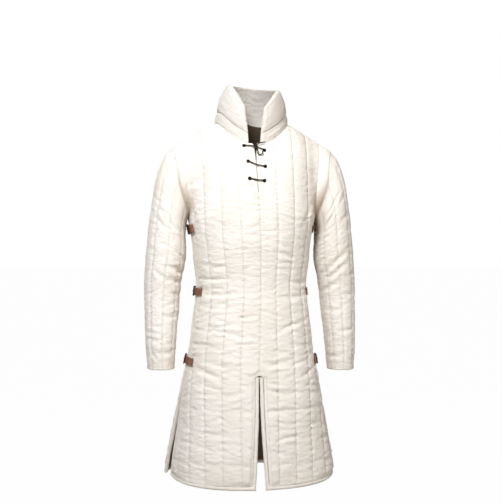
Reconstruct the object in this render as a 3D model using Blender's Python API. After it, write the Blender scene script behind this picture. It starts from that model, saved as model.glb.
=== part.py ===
"""A gambeson: a padded coat of quilted cotton that keeps its worn, hollow form.

Metres, +Z up, and the front faces -Y. The origin is on the middle axis, level with the neck seam at
the shoulders. Each piece that a maker cuts is one object with its own material.
"""

import math

import bmesh
import bpy
from mathutils import Vector
from mathutils.bvhtree import BVHTree

# Cloth, seams and quilting
SEAM_GAP = 0.0003
SEAM_SHIFT = 0.0004
SLEEVE_SHIFT = 0.0007
WALL = 0.006
PUFF = 0.0042
PITCH = 0.047
LEAST_CHANNELS = 4.55
FULL_CHANNELS = 4
NARROW_CHANNEL = 0.045
WIDE_CHANNEL = 0.065
SQUARENESS = 2.4
ARC_STEPS = 120
SAME_LENGTH = 0.000002
SHARP_ANGLE = 50
QUILT_CURVE = 0.8
FULL_PUFF_WIDTH = 0.035
LACING_PUFF = 0.3
NEAR_STEP = 0.004

# A surface direction is turned round if it faces away from its panel by more than these shares
FACING_LIMIT = 0.2
SIDE_LIMIT = 0.02

# Levels and half widths of the body
HEM_Z = -0.894
HEM_DIP = 0.014
UNDERARM_Z = -0.235
SHOULDER_Z = -0.061
SHOULDER_HALF = 0.209
SHOULDER_SLOPE = 0.583
NECK_HALF = 0.094
NECK_COLUMN = 2
ARMHOLE_HALF = 0.052
ARMHOLE_CENTRE = (0.172, -0.150)
CHEST_CURVE = 0.42
SEAM_INWARD = 0.45
SHOULDER_INWARD = (-0.5, -0.86)
ARMHOLE_BULGE = 0.85
ARMHOLE_FROM_COLUMN = 3
HALVINGS = 40
FRONT_NECK = (0.098, -0.020)
BACK_NECK = (0.080, 0.032)

# Slits of the front
SKIRT_SLIT_TOP = -0.630
LACING_SLIT_SHARE = 0.38

# Rolled edges
ROLL_RADIUS = 0.0050
ROLL_SIDES = 8

# Body sections from the hem up: z, half width of front and back, depth of front and back
BODY = (
    (-0.900, 0.211, 0.224, 0.163, 0.163),
    (-0.839, 0.204, 0.214, 0.158, 0.155),
    (-0.767, 0.192, 0.199, 0.149, 0.147),
    (-0.709, 0.183, 0.188, 0.141, 0.140),
    (-0.657, 0.174, 0.177, 0.133, 0.133),
    (-0.585, 0.160, 0.161, 0.122, 0.124),
    (-0.520, 0.1525, 0.1525, 0.114, 0.112),
    (-0.475, 0.147, 0.147, 0.110, 0.103),
    (-0.423, 0.1405, 0.1405, 0.107, 0.096),
    (-0.397, 0.141, 0.141, 0.108, 0.097),
    (-0.345, 0.148, 0.148, 0.114, 0.103),
    (-0.301, 0.151, 0.151, 0.121, 0.110),
    (-0.235, 0.163, 0.163, 0.126, 0.118),
)

# Armhole seam from underarm to shoulder: z, half width
ARMHOLE = (
    (-0.235, 0.163),
    (-0.209, 0.173),
    (-0.175, 0.185),
    (-0.144, 0.192),
    (-0.090, 0.199),
    (-0.061, 0.209),
)

# Half of the open side between front and back: z, distance from the middle plane
SIDE_GAP = (
    (-0.900, 0.026),
    (-0.700, 0.019),
    (-0.423, 0.016),
    (-0.235, 0.010),
)

# Where the front's middle line lies: z, x
MIDDLE_LINE = (
    (-0.900, -0.001),
    (-0.630, 0.001),
    (-0.440, 0.008),
    (-0.300, 0.006),
    (-0.200, 0.001),
    (-0.120, -0.0035),
    (-0.050, -0.005),
)

# Half gap between the two sides of the skirt slit: z, distance
SKIRT_SLIT = (
    (-0.909, 0.0138),
    (-0.860, 0.0100),
    (-0.810, 0.0068),
    (-0.760, 0.0040),
    (-0.700, 0.0018),
    (-0.630, 0.0008),
)

# Half gap between the two sides of the lacing slit: share of the way up from the underarm, distance
LACING_SLIT = (
    (0.375, 0.0006),
    (0.500, 0.0007),
    (0.625, 0.0009),
    (0.750, 0.0024),
    (0.875, 0.0042),
    (1.000, 0.0050),
)

# Rows of the body panels: lower rows by level, then upper rows by their share up to the shoulder
LOWER_ROWS = (
    -0.8837, -0.868, -0.851, -0.820, -0.785, -0.752, -0.721, -0.690, -0.660, -0.630, -0.598,
    -0.565, -0.530, -0.495, -0.460, -0.425, -0.390, -0.355, -0.320, -0.288, -0.260,
)
CROSS_SEAMS = (-0.851, -0.721)
CROSS_SEAM_PUFF = 0.35
UPPER_STEPS = 8

# Columns of half a panel, counted in channels, then in shares of the last stretch to the edge
COLUMNS = (0, 0.5, 1, 1.5, 1.8, 1.94, 2, 2.5, 3, 3.5, 4, 4.25, 4.5, 4.75, 5)

# Sleeve rings from shoulder to cuff: outer x and z, inner x and z, half depth, middle y, puff share
SLEEVE = (
    (0.2235, -0.0785, 0.1675, -0.243, 0.0550, 0.000, 0.5),
    (0.2365, -0.1100, 0.1700, -0.252, 0.0570, 0.001, 1.0),
    (0.2455, -0.1410, 0.1715, -0.263, 0.0585, 0.002, 1.0),
    (0.2520, -0.1800, 0.1725, -0.276, 0.0590, 0.003, 1.0),
    (0.2585, -0.2206, 0.1725, -0.294, 0.0590, 0.004, 1.0),
    (0.2640, -0.2650, 0.1710, -0.316, 0.0580, 0.005, 1.0),
    (0.2695, -0.3300, 0.1725, -0.350, 0.0560, 0.007, 1.0),
    (0.2735, -0.3900, 0.1815, -0.392, 0.0530, 0.008, 1.0),
    (0.2745, -0.4370, 0.1865, -0.437, 0.0500, 0.007, 0.9),
    (0.2735, -0.4850, 0.1905, -0.485, 0.0480, 0.002, 1.0),
    (0.2725, -0.5300, 0.1955, -0.530, 0.0460, -0.003, 1.0),
    (0.2710, -0.5770, 0.1990, -0.577, 0.0430, -0.008, 1.0),
    (0.2690, -0.6140, 0.2005, -0.614, 0.0410, -0.011, 0.4),
    (0.2685, -0.6300, 0.2010, -0.630, 0.0400, -0.012, 0.0),
)
SLEEVE_ROUND = 0.9
LEFT_CUFF_RISE = 0.008

# Collar
COLLAR_MIDDLE = -0.0065
COLLAR_BASE_GAP = 0.0155
COLLAR_TOP_GAP = 0.0255
COLLAR_TOP_HALF = 0.066
COLLAR_TOP_DEPTH = 0.070
COLLAR_TOP_Y = -0.034
COLLAR_TOP_Z = 0.098
COLLAR_CORNER_Z = 0.038
COLLAR_BACK_RISE = 0.008
COLLAR_TILT = -0.08
COLLAR_WALL = 0.009
COLLAR_CURVE = 1.6
COLLAR_PUFF = 0.003
BAND_ROWS = (0.0, 0.15, 0.290)
UPPER_COLLAR_ROWS = (0.2935, 0.38, 0.50, 0.64, 0.78, 0.91, 1.0)
LIP_INSET = 0.002

# Side straps, three on each side: level, how far behind the open side the buckle sits, and how
# far the strap lies over the body's base surface, just clear of the quilting. The lowest buckle on
# the right sits further forward, over the open side.
STRAPS = (
    (-0.264, 0.026, 0.0048),
    (-0.426, 0.014, 0.0056),
    (-0.603, 0.014, 0.0047),
)
RIGHT_LOW_SET_BACK = -0.031
STRAP_HALF = 0.010
STRAP_THICK = 0.0022
STRAP_LENGTH = 0.034
TAB_LENGTH = 0.038
BUCKLE_HALF = 0.0135
BUCKLE_LENGTH = 0.024
BUCKLE_BAR = 0.0032
BUCKLE_THICK = 0.0030
STRAP_STEPS = 9
TAB_STEPS = 7

# Eyelets: name, x, z
EYELETS = (
    ("left_1", -0.0333, -0.0588),
    ("right_1", 0.0174, -0.0700),
    ("left_2", -0.0247, -0.0987),
    ("right_2", 0.0179, -0.1113),
    ("left_3", -0.0222, -0.1420),
    ("right_3", 0.0146, -0.1472),
)
EYELET_RADIUS = 0.0047
EYELET_HOLE = 0.0029
EYELET_THICK = 0.0012
EYELET_LIFT = 0.0007
EYELET_SIDES = 12
HOLE_SIDES = 8
HOLE_LENGTH = 0.030
HOLE_DEPTH = 0.006
FACING_FRONT = 0.5

# Lace: heights over the cloth on its way out through an eyelet, then points as x, z on the front
LACE_RADIUS = 0.0014
LACE_OUT = 0.0036
LACE_IN = -0.0125
LACE_THROUGH = (LACE_IN, -0.006, 0.0005, LACE_OUT)
LACE_STEP = 0.0060
SLIT_REACH = 0.0100
LACE_FROM_KNOT = (-0.0200, -0.0600)
LACE_TO_KNOT = (0.0085, -0.0672)
KNOT_WAY_OUT = 0.0044
BEHIND_TOP = ((-0.0150, -0.0790), (0.0050, -0.0990))
BEHIND_LEFT = ((-0.0250, -0.1200),)
BEHIND_RIGHT = ((0.0240, -0.1360), (0.0290, -0.1110), (0.0260, -0.0860))
BAR_OUT = 0.0042
MIDDLE_BAR_SAG = 0.0030
LOW_BAR_SAG = 0.0010

# Knot, loop and free ends; angles are in degrees as seen from before the coat
KNOT = (-0.0045, -0.0640)
KNOT_SIZE = (0.0046, 0.0034, 0.0038)
KNOT_OUT = 0.0052
KNOT_START_RISE = 0.0008
KNOT_FINISH_DROP = 0.0012
KNOT_CLEAR = 0.0009
LOOP_FROM = -75
LOOP_CENTRE = (0.0062, -0.0775)
LOOP_RADIUS = 0.0064
LOOP_OUT = 0.0064
LOOP_ANGLES = (150, 190, 230, 270, 310, 350, 390)
FREE_STEP = 0.0036
FREE_OUT = 0.0072
TAIL_FROM = 60
TAIL_VIA = (0.0040, -0.0560)
TAIL_END = (0.0098, -0.0520)
STUB_FROM = 125
STUB_END = (-0.0135, -0.0545)

# Colours: red, green, blue, roughness, metallic
FINISHES = {
    "canvas": (0.86, 0.79, 0.70, 0.90, 0.0),
    "leather": (0.30, 0.11, 0.05, 0.55, 0.0),
    "buckle": (0.03, 0.03, 0.03, 0.40, 0.8),
    "eyelet": (0.015, 0.015, 0.015, 0.45, 0.6),
    "lace": (0.035, 0.028, 0.024, 0.80, 0.0),
}


def clear_scene():
    for item in list(bpy.data.objects):
        bpy.data.objects.remove(item, do_unlink=True)


def make_material(name, finish):
    red, green, blue, roughness, metallic = FINISHES[finish]
    material = bpy.data.materials.new(name)
    material.use_nodes = True
    shader = material.node_tree.nodes["Principled BSDF"]
    shader.inputs["Base Color"].default_value = (red, green, blue, 1.0)
    shader.inputs["Roughness"].default_value = roughness
    shader.inputs["Metallic"].default_value = metallic
    return material


def add_object(name, data, finish):
    data.materials.append(make_material(name, finish))
    item = bpy.data.objects.new(name, data)
    bpy.context.scene.collection.objects.link(item)
    return item


def split_faces(points, faces):
    """Each four-sided face as two triangles across its shorter way, so that seams match."""
    split = []
    for face in faces:
        if len(face) != 4:
            split.append(face)
            continue
        a, b, c, d = face
        shorter = (points[b] - points[d]).length - (points[a] - points[c]).length
        if abs(shorter) < SAME_LENGTH:
            shorter = (points[b] + points[d]).z - (points[a] + points[c]).z
        if shorter > 0:
            split += [(a, b, c), (a, c, d)]
        else:
            split += [(a, b, d), (b, c, d)]
    return split


def add_mesh(name, points, faces, finish):
    """A closed body from points and faces, with its faces turned out and shaded smooth."""
    mesh = bpy.data.meshes.new(name)
    mesh.from_pydata([tuple(point) for point in points], [], split_faces(points, faces))
    body = bmesh.new()
    body.from_mesh(mesh)
    bmesh.ops.recalc_face_normals(body, faces=body.faces)
    body.to_mesh(mesh)
    body.free()
    mesh.shade_smooth()
    mesh.set_sharp_from_angle(angle=math.radians(SHARP_ANGLE))
    return add_object(name, mesh, finish)


def read_table(table, key, column):
    """Smooth value of a column at a key; the rows are sorted by their first column."""
    key = min(max(key, table[0][0]), table[-1][0])
    last = len(table) - 2
    index = 0
    while index < last and table[index + 1][0] < key:
        index += 1
    low = table[index]
    high = table[index + 1]
    before = table[max(index - 1, 0)]
    after = table[min(index + 2, len(table) - 1)]
    span = high[0] - low[0]
    t = (key - low[0]) / span
    slope_low = (high[column] - before[column]) / (high[0] - before[0]) * span
    slope_high = (after[column] - low[column]) / (after[0] - low[0]) * span
    rise = high[column] - low[column]
    bend = t * (1 - t)
    ease = t * t * (3 - 2 * t)
    return low[column] + rise * ease + bend * (slope_low * (1 - t) - slope_high * t)


def smooth_step(value, low, high):
    t = min(max((value - low) / (high - low), 0.0), 1.0)
    return t * t * (3 - 2 * t)


def quarter_section(half_width, depth):
    """A quarter of a body section, from the middle to the side: length walked, x and depth."""
    power = 2 / SQUARENESS
    walked = 0.0
    rows = []
    for step in range(ARC_STEPS + 1):
        angle = math.pi / 2 * step / ARC_STEPS
        x = half_width * math.sin(angle) ** power
        y = depth * max(math.cos(angle), 0.0) ** power
        if rows:
            walked += math.hypot(x - rows[-1][1], y - rows[-1][2])
        rows.append((walked, x, y))
    return rows


def along(rows, length):
    """The x and depth at a length along a quarter section."""
    index = 1
    while index < len(rows) - 1 and rows[index][0] < length:
        index += 1
    low = rows[index - 1]
    high = rows[index]
    t = (length - low[0]) / (high[0] - low[0])
    return low[1] + (high[1] - low[1]) * t, low[2] + (high[2] - low[2]) * t


def edge_length(rows, gap):
    """Length along a quarter section at which its depth has shrunk to the gap."""
    for low, high in zip(rows, rows[1:]):
        if high[2] <= gap:
            return low[0] + (high[0] - low[0]) * (low[2] - gap) / (low[2] - high[2])
    return rows[-1][0]


class Panel:
    """The front or the back: its base surface, worked out from the section tables."""

    def __init__(self, face, width_column, depth_column, neck, is_front):
        self.face = face
        self.width_column = width_column
        self.depth_column = depth_column
        self.neck_depth, self.neck_rise = neck
        self.is_front = is_front
        self.cache = {}

    def section(self, level):
        if level not in self.cache:
            width = read_table(BODY, level, self.width_column)
            depth = read_table(BODY, level, self.depth_column)
            rows = quarter_section(width, depth)
            edge = edge_length(rows, read_table(SIDE_GAP, level, 1))
            self.cache[level] = (rows, edge, min(PITCH, edge / LEAST_CHANNELS))
        return self.cache[level]

    def lean(self, level):
        return read_table(MIDDLE_LINE, level, 1) if self.is_front else 0.0

    def place(self, side, length, level):
        """A point of the base surface at a length from the middle, below the underarm."""
        rows, edge, _ = self.section(level)
        signed = side * length + self.lean(level) * (1 - length / edge)
        x, depth = along(rows, abs(signed))
        drop = (UNDERARM_Z - level) / (UNDERARM_Z - HEM_Z)
        z = level - HEM_DIP * drop**3 * (1 - (length / edge) ** 2)
        return Vector((math.copysign(x, signed), self.face * depth, z))

    def column_length(self, column, level):
        _, edge, pitch = self.section(level)
        if column <= FULL_CHANNELS:
            return column * pitch
        last = edge - FULL_CHANNELS * pitch
        return FULL_CHANNELS * pitch + (column - FULL_CHANNELS) * last

    def lower_point(self, side, column, level, half_gap):
        _, edge, _ = self.section(level)
        length = self.column_length(column, level)
        return self.place(side, length + half_gap * (1 - length / edge), level)

    def upper_point(self, side, column, share, half_gap):
        """A point between the underarm level and the shoulder or neck seam."""
        rows, edge, _ = self.section(UNDERARM_Z)
        length = self.column_length(column, UNDERARM_Z)
        length += half_gap * (1 - length / edge)
        neck_length = self.column_length(NECK_COLUMN, UNDERARM_Z)
        x_low, depth_low = along(rows, length)
        if column <= NECK_COLUMN:
            x_top = column / NECK_COLUMN * NECK_HALF + half_gap * (1 - column / NECK_COLUMN)
        else:
            reach = (length - neck_length) / (edge - neck_length)
            x_top = NECK_HALF + reach * (SHOULDER_HALF - NECK_HALF)
        ridge = SHOULDER_Z + (SHOULDER_HALF - x_top) * SHOULDER_SLOPE
        ridge += self.neck_rise * max(0.0, 1 - (x_top / NECK_HALF) ** 2)
        rise = (1 - math.cos(math.pi * share)) / 2
        if column < NECK_COLUMN:
            rise *= self.neck_rise_share(x_low, x_top, depth_low)
        z = UNDERARM_Z + (ridge - UNDERARM_Z) * rise
        x = x_low + (x_top - x_low) * rise
        depth = depth_low * max(1 - rise * rise, 0.0) ** CHEST_CURVE
        bulge = math.sin(math.pi * share) ** ARMHOLE_BULGE if 0 < share < 1 else 0.0
        seam_depth = read_table(SIDE_GAP, UNDERARM_Z, 1) * (1 - share) + ARMHOLE_HALF * bulge
        near = smooth_step(length, self.column_length(ARMHOLE_FROM_COLUMN, UNDERARM_Z), edge)
        depth += (seam_depth - depth) * near
        if column == COLUMNS[-1]:
            x = read_table(ARMHOLE, z, 1)
        depth = max(depth, SEAM_GAP / 2)
        low_share = (1 - rise) * (1 - length / edge)
        lean = self.lean(z) * (low_share + rise * max(0.0, 1 - column / NECK_COLUMN))
        return Vector((side * x + lean, self.face * depth, z))

    def neck_rise_share(self, x_low, x_top, depth_low):
        """How far up its column the neckline crosses, by halving."""
        low, high = 0.0, 1.0
        for _ in range(HALVINGS):
            middle = (low + high) / 2
            x = x_low + (x_top - x_low) * middle
            depth = depth_low * (1 - middle * middle) ** CHEST_CURVE
            if (x / NECK_HALF) ** 2 + (depth / self.neck_depth) ** 2 > 1:
                low = middle
            else:
                high = middle
        return low

    def puff(self, column, level):
        """How far the quilting stands up at a column."""
        _, edge, pitch = self.section(level)
        if column <= FULL_CHANNELS:
            return PUFF * abs(math.sin(math.pi * column)) ** QUILT_CURVE
        last = edge - FULL_CHANNELS * pitch
        share = column - FULL_CHANNELS
        two = smooth_step(last, NARROW_CHANNEL, WIDE_CHANNEL)
        wave = (1 - two) * abs(math.sin(math.pi * share))
        wave += two * abs(math.sin(2 * math.pi * share))
        return PUFF * min(1.0, last / FULL_PUFF_WIDTH) * wave


FRONT = Panel(-1, 1, 3, FRONT_NECK, True)
BACK = Panel(1, 2, 4, BACK_NECK, False)


def slit_half_gap(panel, level, share):
    """Half the width cut out of the panel at its middle, or None where it is whole."""
    if not panel.is_front:
        return None
    if share is None:
        if level >= SKIRT_SLIT_TOP:
            return None
        return read_table(SKIRT_SLIT, level, 1) + 2 * ROLL_RADIUS + SEAM_GAP
    if share <= LACING_SLIT_SHARE:
        return None
    return read_table(LACING_SLIT, share, 1)


def panel_rows():
    rows = [(level, None) for level in LOWER_ROWS]
    rows += [(UNDERARM_Z, step / UPPER_STEPS) for step in range(UPPER_STEPS + 1)]
    return rows


def seam_inward(panel, side, column, point):
    """Direction of the wall's end face along the neck, shoulder or armhole seam."""
    if column == COLUMNS[-1]:
        centre_x, centre_z = ARMHOLE_CENTRE
        return Vector((side * centre_x - point.x, -point.y, centre_z - point.z)).normalized()
    if column <= NECK_COLUMN:
        flat = Vector((-point.x / NECK_HALF**2, -point.y / panel.neck_depth**2, 0)).normalized()
        return (flat + Vector((0, 0, -SEAM_INWARD))).normalized()
    across, down = SHOULDER_INWARD
    return Vector((side * across, 0, down)).normalized()


def panel_grids(panel):
    """Outer and inner points of a body panel, in rows of columns, and which rows are open."""
    ids = [(-1, column) for column in reversed(COLUMNS)] + [(1, column) for column in COLUMNS]
    rows = panel_rows()
    middle = len(COLUMNS) - 1
    base = []
    opens = []
    for level, share in rows:
        gap = slit_half_gap(panel, level, share)
        opens.append(gap is not None)
        line = []
        for side, column in ids:
            if share is None:
                line.append(panel.lower_point(side, column, level, gap or 0.0))
            else:
                line.append(panel.upper_point(side, column, share, gap or 0.0))
        base.append(line)
    outer = []
    inner = []
    for row, (level, share) in enumerate(rows):
        above = base[min(row + 1, len(rows) - 1)]
        below = base[max(row - 1, 0)]
        outer_line = []
        inner_line = []
        for place, (side, column) in enumerate(ids):
            left = max(place - 1, 0)
            right = min(place + 1, len(ids) - 1)
            if place == middle:
                right = middle if opens[row] else middle + 2
            if place == middle + 1:
                left = middle + 1 if opens[row] else middle - 1
            point = base[row][place]
            across = base[row][right] - base[row][left]
            normal = across.cross(above[place] - below[place]).normalized()
            faces_away = normal.y * panel.face < 0 and abs(normal.y) > FACING_LIMIT
            if faces_away or normal.x * point.x < -SIDE_LIMIT:
                normal = -normal
            top = share == 1.0
            edge = column == COLUMNS[-1]
            if top or (edge and share is not None):
                inward = seam_inward(panel, side, column, point)
                outer_line.append(point)
                inner_line.append(point + inward * WALL)
                continue
            puff = panel.puff(column, level)
            if row == 0 or (column == 0 and opens[row]):
                puff = 0.0
            if level in CROSS_SEAMS:
                puff *= CROSS_SEAM_PUFF
            if share is not None and share > LACING_SLIT_SHARE and column <= 1 and panel.is_front:
                puff *= LACING_PUFF
            outer_line.append(point + normal * puff)
            inner_line.append(point - normal * WALL)
        outer.append(outer_line)
        inner.append(inner_line)
    return outer, inner, opens


def build_panel(name, grids):
    """A body panel as one closed wall, open along its slits."""
    outer, inner, opens = grids
    count = len(outer[0])
    middle = len(COLUMNS) - 1
    points = []
    index = {}
    for row in range(len(outer)):
        for place in range(count):
            if place == middle + 1 and not opens[row]:
                index[row, place] = index[row, middle]
                continue
            index[row, place] = len(points)
            points.append(outer[row][place])
            points.append(inner[row][place])
    faces = []

    def add_face(*corners):
        ring = []
        for corner in corners:
            if corner not in ring:
                ring.append(corner)
        if len(ring) > 2:
            faces.append(ring)

    last = len(outer) - 1
    for row in range(last):
        for place in range(count - 1):
            if place == middle:
                continue
            a = index[row, place]
            b = index[row, place + 1]
            c = index[row + 1, place + 1]
            d = index[row + 1, place]
            add_face(a, b, c, d)
            add_face(a + 1, d + 1, c + 1, b + 1)
        for place in (0, count - 1):
            a = index[row, place]
            b = index[row + 1, place]
            add_face(a, b, b + 1, a + 1)
        if opens[row] or opens[row + 1]:
            for place in (middle, middle + 1):
                a = index[row, place]
                b = index[row + 1, place]
                add_face(a, b, b + 1, a + 1)
    for row in (0, last):
        for place in range(count - 1):
            if place == middle:
                continue
            a = index[row, place]
            b = index[row, place + 1]
            add_face(a, b, b + 1, a + 1)
    return add_mesh(name, points, faces, "canvas")


def build_wall(name, outer, inner, closed, finish, holes=()):
    """A closed wall between two grids of points; holes are cells that are left open."""
    rows = len(outer)
    columns = len(outer[0])
    points = []
    for line_out, line_in in zip(outer, inner):
        for point_out, point_in in zip(line_out, line_in):
            points.append(point_out)
            points.append(point_in)

    def at(row, column):
        return 2 * (row * columns + column % columns)

    cells = set()
    for row in range(rows - 1):
        for column in range(columns if closed else columns - 1):
            if (row, column) not in holes:
                cells.add((row, column))
    faces = []
    for row, column in sorted(cells):
        a = at(row, column)
        b = at(row, column + 1)
        c = at(row + 1, column + 1)
        d = at(row + 1, column)
        faces.append((a, b, c, d))
        faces.append((a + 1, d + 1, c + 1, b + 1))
        left = (row, (column - 1) % columns) if closed else (row, column - 1)
        right = (row, (column + 1) % columns) if closed else (row, column + 1)
        for neighbour, start, end in (
            ((row - 1, column), a, b),
            ((row + 1, column), c, d),
            (left, d, a),
            (right, b, c),
        ):
            if neighbour not in cells:
                faces.append((start, end, end + 1, start + 1))
    add_mesh(name, points, faces, finish)


def sleeve_grids(side, front_grids, back_grids):
    """Rings of a sleeve, from the armhole's own points down to the cuff."""
    shift = Vector((side * SLEEVE_SHIFT, 0, 0))
    place = -1 if side > 0 else 0
    first_row = len(LOWER_ROWS)
    rings = [[], []]
    for layer in (0, 1):
        front_edge = [line[place] for line in front_grids[layer][first_row:]]
        back_edge = [line[place] for line in back_grids[layer][first_row:]]
        share = front_edge[0].y / front_edge[1].y
        underarm = (front_edge[0] - front_edge[1] * share) / (1 - share)
        underarm.y = 0.0
        top = (front_edge[-1] + back_edge[-1]) / 2
        ring = [underarm] + front_edge[1:-1] + [top] + back_edge[-2:0:-1]
        rings[layer].append([point + shift for point in ring])
    count = 2 * UPPER_STEPS
    for number, row in enumerate(SLEEVE):
        outer_x, outer_z, inner_x, inner_z, half_depth, middle_y, puff_share = row
        rise = LEFT_CUFF_RISE * (number / (len(SLEEVE) - 1)) ** 2 if side < 0 else 0.0
        outer_end = Vector((side * outer_x, middle_y, outer_z + rise))
        inner_end = Vector((side * inner_x, middle_y, inner_z + rise))
        middle = (outer_end + inner_end) / 2
        ring_out = []
        ring_in = []
        for step in range(count):
            angle = 2 * math.pi * step / count
            point = middle - (outer_end - inner_end) * math.cos(angle) / 2
            wave = math.copysign(abs(math.sin(angle)) ** SLEEVE_ROUND, math.sin(angle))
            point.y = middle_y - half_depth * wave
            outward = (point - middle).normalized()
            puff = PUFF * puff_share if step % 2 else 0.0
            ring_out.append(point + outward * puff)
            ring_in.append(point - outward * WALL)
        rings[0].append(ring_out)
        rings[1].append(ring_in)
    return rings


def collar_base(front_grids, back_grids):
    """The neck seam's points, from the front left edge round the back to the front right edge."""
    count = len(front_grids[0][0])
    middle = len(COLUMNS) - 1
    neck = COLUMNS.index(NECK_COLUMN)
    layers = []
    targets = (COLLAR_MIDDLE - COLLAR_BASE_GAP, COLLAR_MIDDLE + COLLAR_BASE_GAP)
    share_of = {}
    for target, near, far in ((targets[0], middle, middle - 1), (targets[1], middle + 1, middle + 2)):
        line = front_grids[0][-1]
        share_of[near] = (target - line[near].x) / (line[far].x - line[near].x)
    for layer in (0, 1):
        front = front_grids[layer][-1]
        back = back_grids[layer][-1]
        edge_left = front[middle].lerp(front[middle - 1], share_of[middle])
        edge_right = front[middle + 1].lerp(front[middle + 2], share_of[middle + 1])
        left = [edge_left] + [front[middle - step] for step in range(1, neck)]
        left.append((front[middle - neck] + back[middle - neck]) / 2)
        rear = [back[place] for place in range(middle - neck + 1, middle)]
        rear += [back[place] for place in range(middle + 1, count - middle + neck - 1)]
        right = [(front[middle + 1 + neck] + back[middle + 1 + neck]) / 2]
        right += [front[middle + 1 + step] for step in range(neck - 1, 0, -1)]
        right.append(edge_right)
        layers.append(left + rear + right)
    return layers


def collar_top(base):
    """The collar's top edge: one outer and one inner point for each point of the neck seam."""
    outer = []
    inner = []
    ends = {
        -1: (base[0], math.asin((COLLAR_TOP_GAP - COLLAR_MIDDLE) / COLLAR_TOP_HALF)),
        1: (base[-1], math.asin((COLLAR_TOP_GAP + COLLAR_MIDDLE) / COLLAR_TOP_HALF)),
    }
    for point in base:
        side = -1 if point.x < 0 else 1
        start, top_start = ends[side]
        depth = FRONT.neck_depth if point.y < 0 else BACK.neck_depth
        angle = math.atan2(abs(point.x) / NECK_HALF, -point.y / depth)
        first = math.atan2(abs(start.x) / NECK_HALF, -start.y / FRONT.neck_depth)
        quarter = math.pi / 2
        if angle < quarter:
            angle = top_start + (angle - first) * (quarter - top_start) / (quarter - first)
            slope = (math.sin(angle) - math.sin(top_start)) / (1 - math.sin(top_start))
            z = COLLAR_CORNER_Z + (COLLAR_TOP_Z - COLLAR_CORNER_Z) * slope
        else:
            z = COLLAR_TOP_Z + COLLAR_BACK_RISE * math.sin(angle - quarter)
        flat = Vector((side * math.sin(angle), -math.cos(angle), 0))
        x = COLLAR_TOP_HALF * flat.x
        y = COLLAR_TOP_Y + COLLAR_TOP_DEPTH * flat.y
        outer.append(Vector((x, y, z + COLLAR_TILT * x)))
        inner.append(outer[-1] - flat * COLLAR_WALL)
    return outer, inner


def collar_grids(base_outer, base_inner, rows, bulge):
    """Grids of the band or the upper collar, between the neck seam and the top edge."""
    top_outer, top_inner = collar_top(base_outer)
    outer = []
    inner = []
    for row, height in enumerate(rows):
        spread = height**COLLAR_CURVE
        line_out = []
        line_in = []
        for low, low_in, high, high_in in zip(base_outer, base_inner, top_outer, top_inner):
            point = low.lerp(high, spread)
            point.z = low.z + (high.z - low.z) * height
            point_in = low_in.lerp(high_in, spread)
            point_in.z = low_in.z + (high_in.z - low_in.z) * height
            flat = point - point_in
            flat.z = 0
            flat.normalize()
            place = (height - rows[0]) / (rows[-1] - rows[0])
            point += flat * bulge * math.sin(math.pi * place)
            if height == 1.0:
                point -= flat * LIP_INSET
                point_in += flat * LIP_INSET
            if height == 0.0:
                point.z += SEAM_SHIFT
                point_in.z += SEAM_SHIFT
            line_out.append(point)
            line_in.append(point_in)
        outer.append(line_out)
        inner.append(line_in)
    return outer, inner


def edge_path(grids, cells):
    """Middle of the wall, outward and thickness directions along edge points of a panel."""
    outer, inner, _ = grids
    path = []
    for row, place, row_in, place_in in cells:
        thick = (outer[row][place] - inner[row][place]).normalized()
        middle = inner[row][place] + thick * WALL / 2
        behind_thick = outer[row_in][place_in] - inner[row_in][place_in]
        behind = inner[row_in][place_in] + behind_thick.normalized() * WALL / 2
        away = middle - behind
        away -= thick * away.dot(thick)
        path.append((middle, away.normalized(), thick))
    return path


def build_roll(name, stretches):
    """A rolled edge that follows stretches of a panel's edge, mitred where two meet."""
    rings = []
    for number, stretch in enumerate(stretches):
        for step, (middle, away, thick) in enumerate(stretch):
            if step == 0 and number > 0:
                continue
            spread = away
            if step == len(stretch) - 1 and number < len(stretches) - 1:
                spread = away + stretches[number + 1][0][1]
                spread *= 2 / spread.length_squared
            rings.append((middle, spread, thick))
    points = []
    for middle, spread, thick in rings:
        centre = middle + spread * (SEAM_GAP + ROLL_RADIUS)
        for side in range(ROLL_SIDES):
            angle = 2 * math.pi * (side + 0.5) / ROLL_SIDES
            offset = spread * math.cos(angle) + thick * math.sin(angle)
            points.append(centre + offset * ROLL_RADIUS)
    faces = []
    for ring in range(len(rings) - 1):
        for side in range(ROLL_SIDES):
            a = ring * ROLL_SIDES + side
            b = ring * ROLL_SIDES + (side + 1) % ROLL_SIDES
            faces.append((a, b, b + ROLL_SIDES, a + ROLL_SIDES))
    faces.append(list(range(ROLL_SIDES)))
    faces.append([len(points) - ROLL_SIDES + side for side in range(ROLL_SIDES)])
    add_mesh(name, points, faces, "canvas")


def build_rolls(front_grids, back_grids):
    """The rolled edges of the skirt slit, the hem and the open sides."""
    middle = len(COLUMNS) - 1
    count = len(front_grids[0][0])
    underarm = len(LOWER_ROWS)
    slit_top = LOWER_ROWS.index(SKIRT_SLIT_TOP)
    for name, near, inward, ends in (
        ("binding_front_left", middle, -1, 0),
        ("binding_front_right", middle + 1, 1, count - 1),
    ):
        slit = [(row, near, row, near + inward) for row in range(slit_top - 1, -1, -1)]
        hem = [(0, place, 1, place) for place in range(near, ends + inward, inward)]
        side = [(row, ends, row, ends - inward) for row in range(underarm)]
        cells = (slit, hem, side)
        build_roll(name, [edge_path(front_grids, stretch) for stretch in cells])
    left = [(row, 0, row, 1) for row in range(underarm - 1, -1, -1)]
    hem = [(0, place, 1, place) for place in range(count) if place != middle + 1]
    right = [(row, count - 1, row, count - 2) for row in range(underarm)]
    build_roll("binding_back", [edge_path(back_grids, stretch) for stretch in (left, hem, right)])


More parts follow.
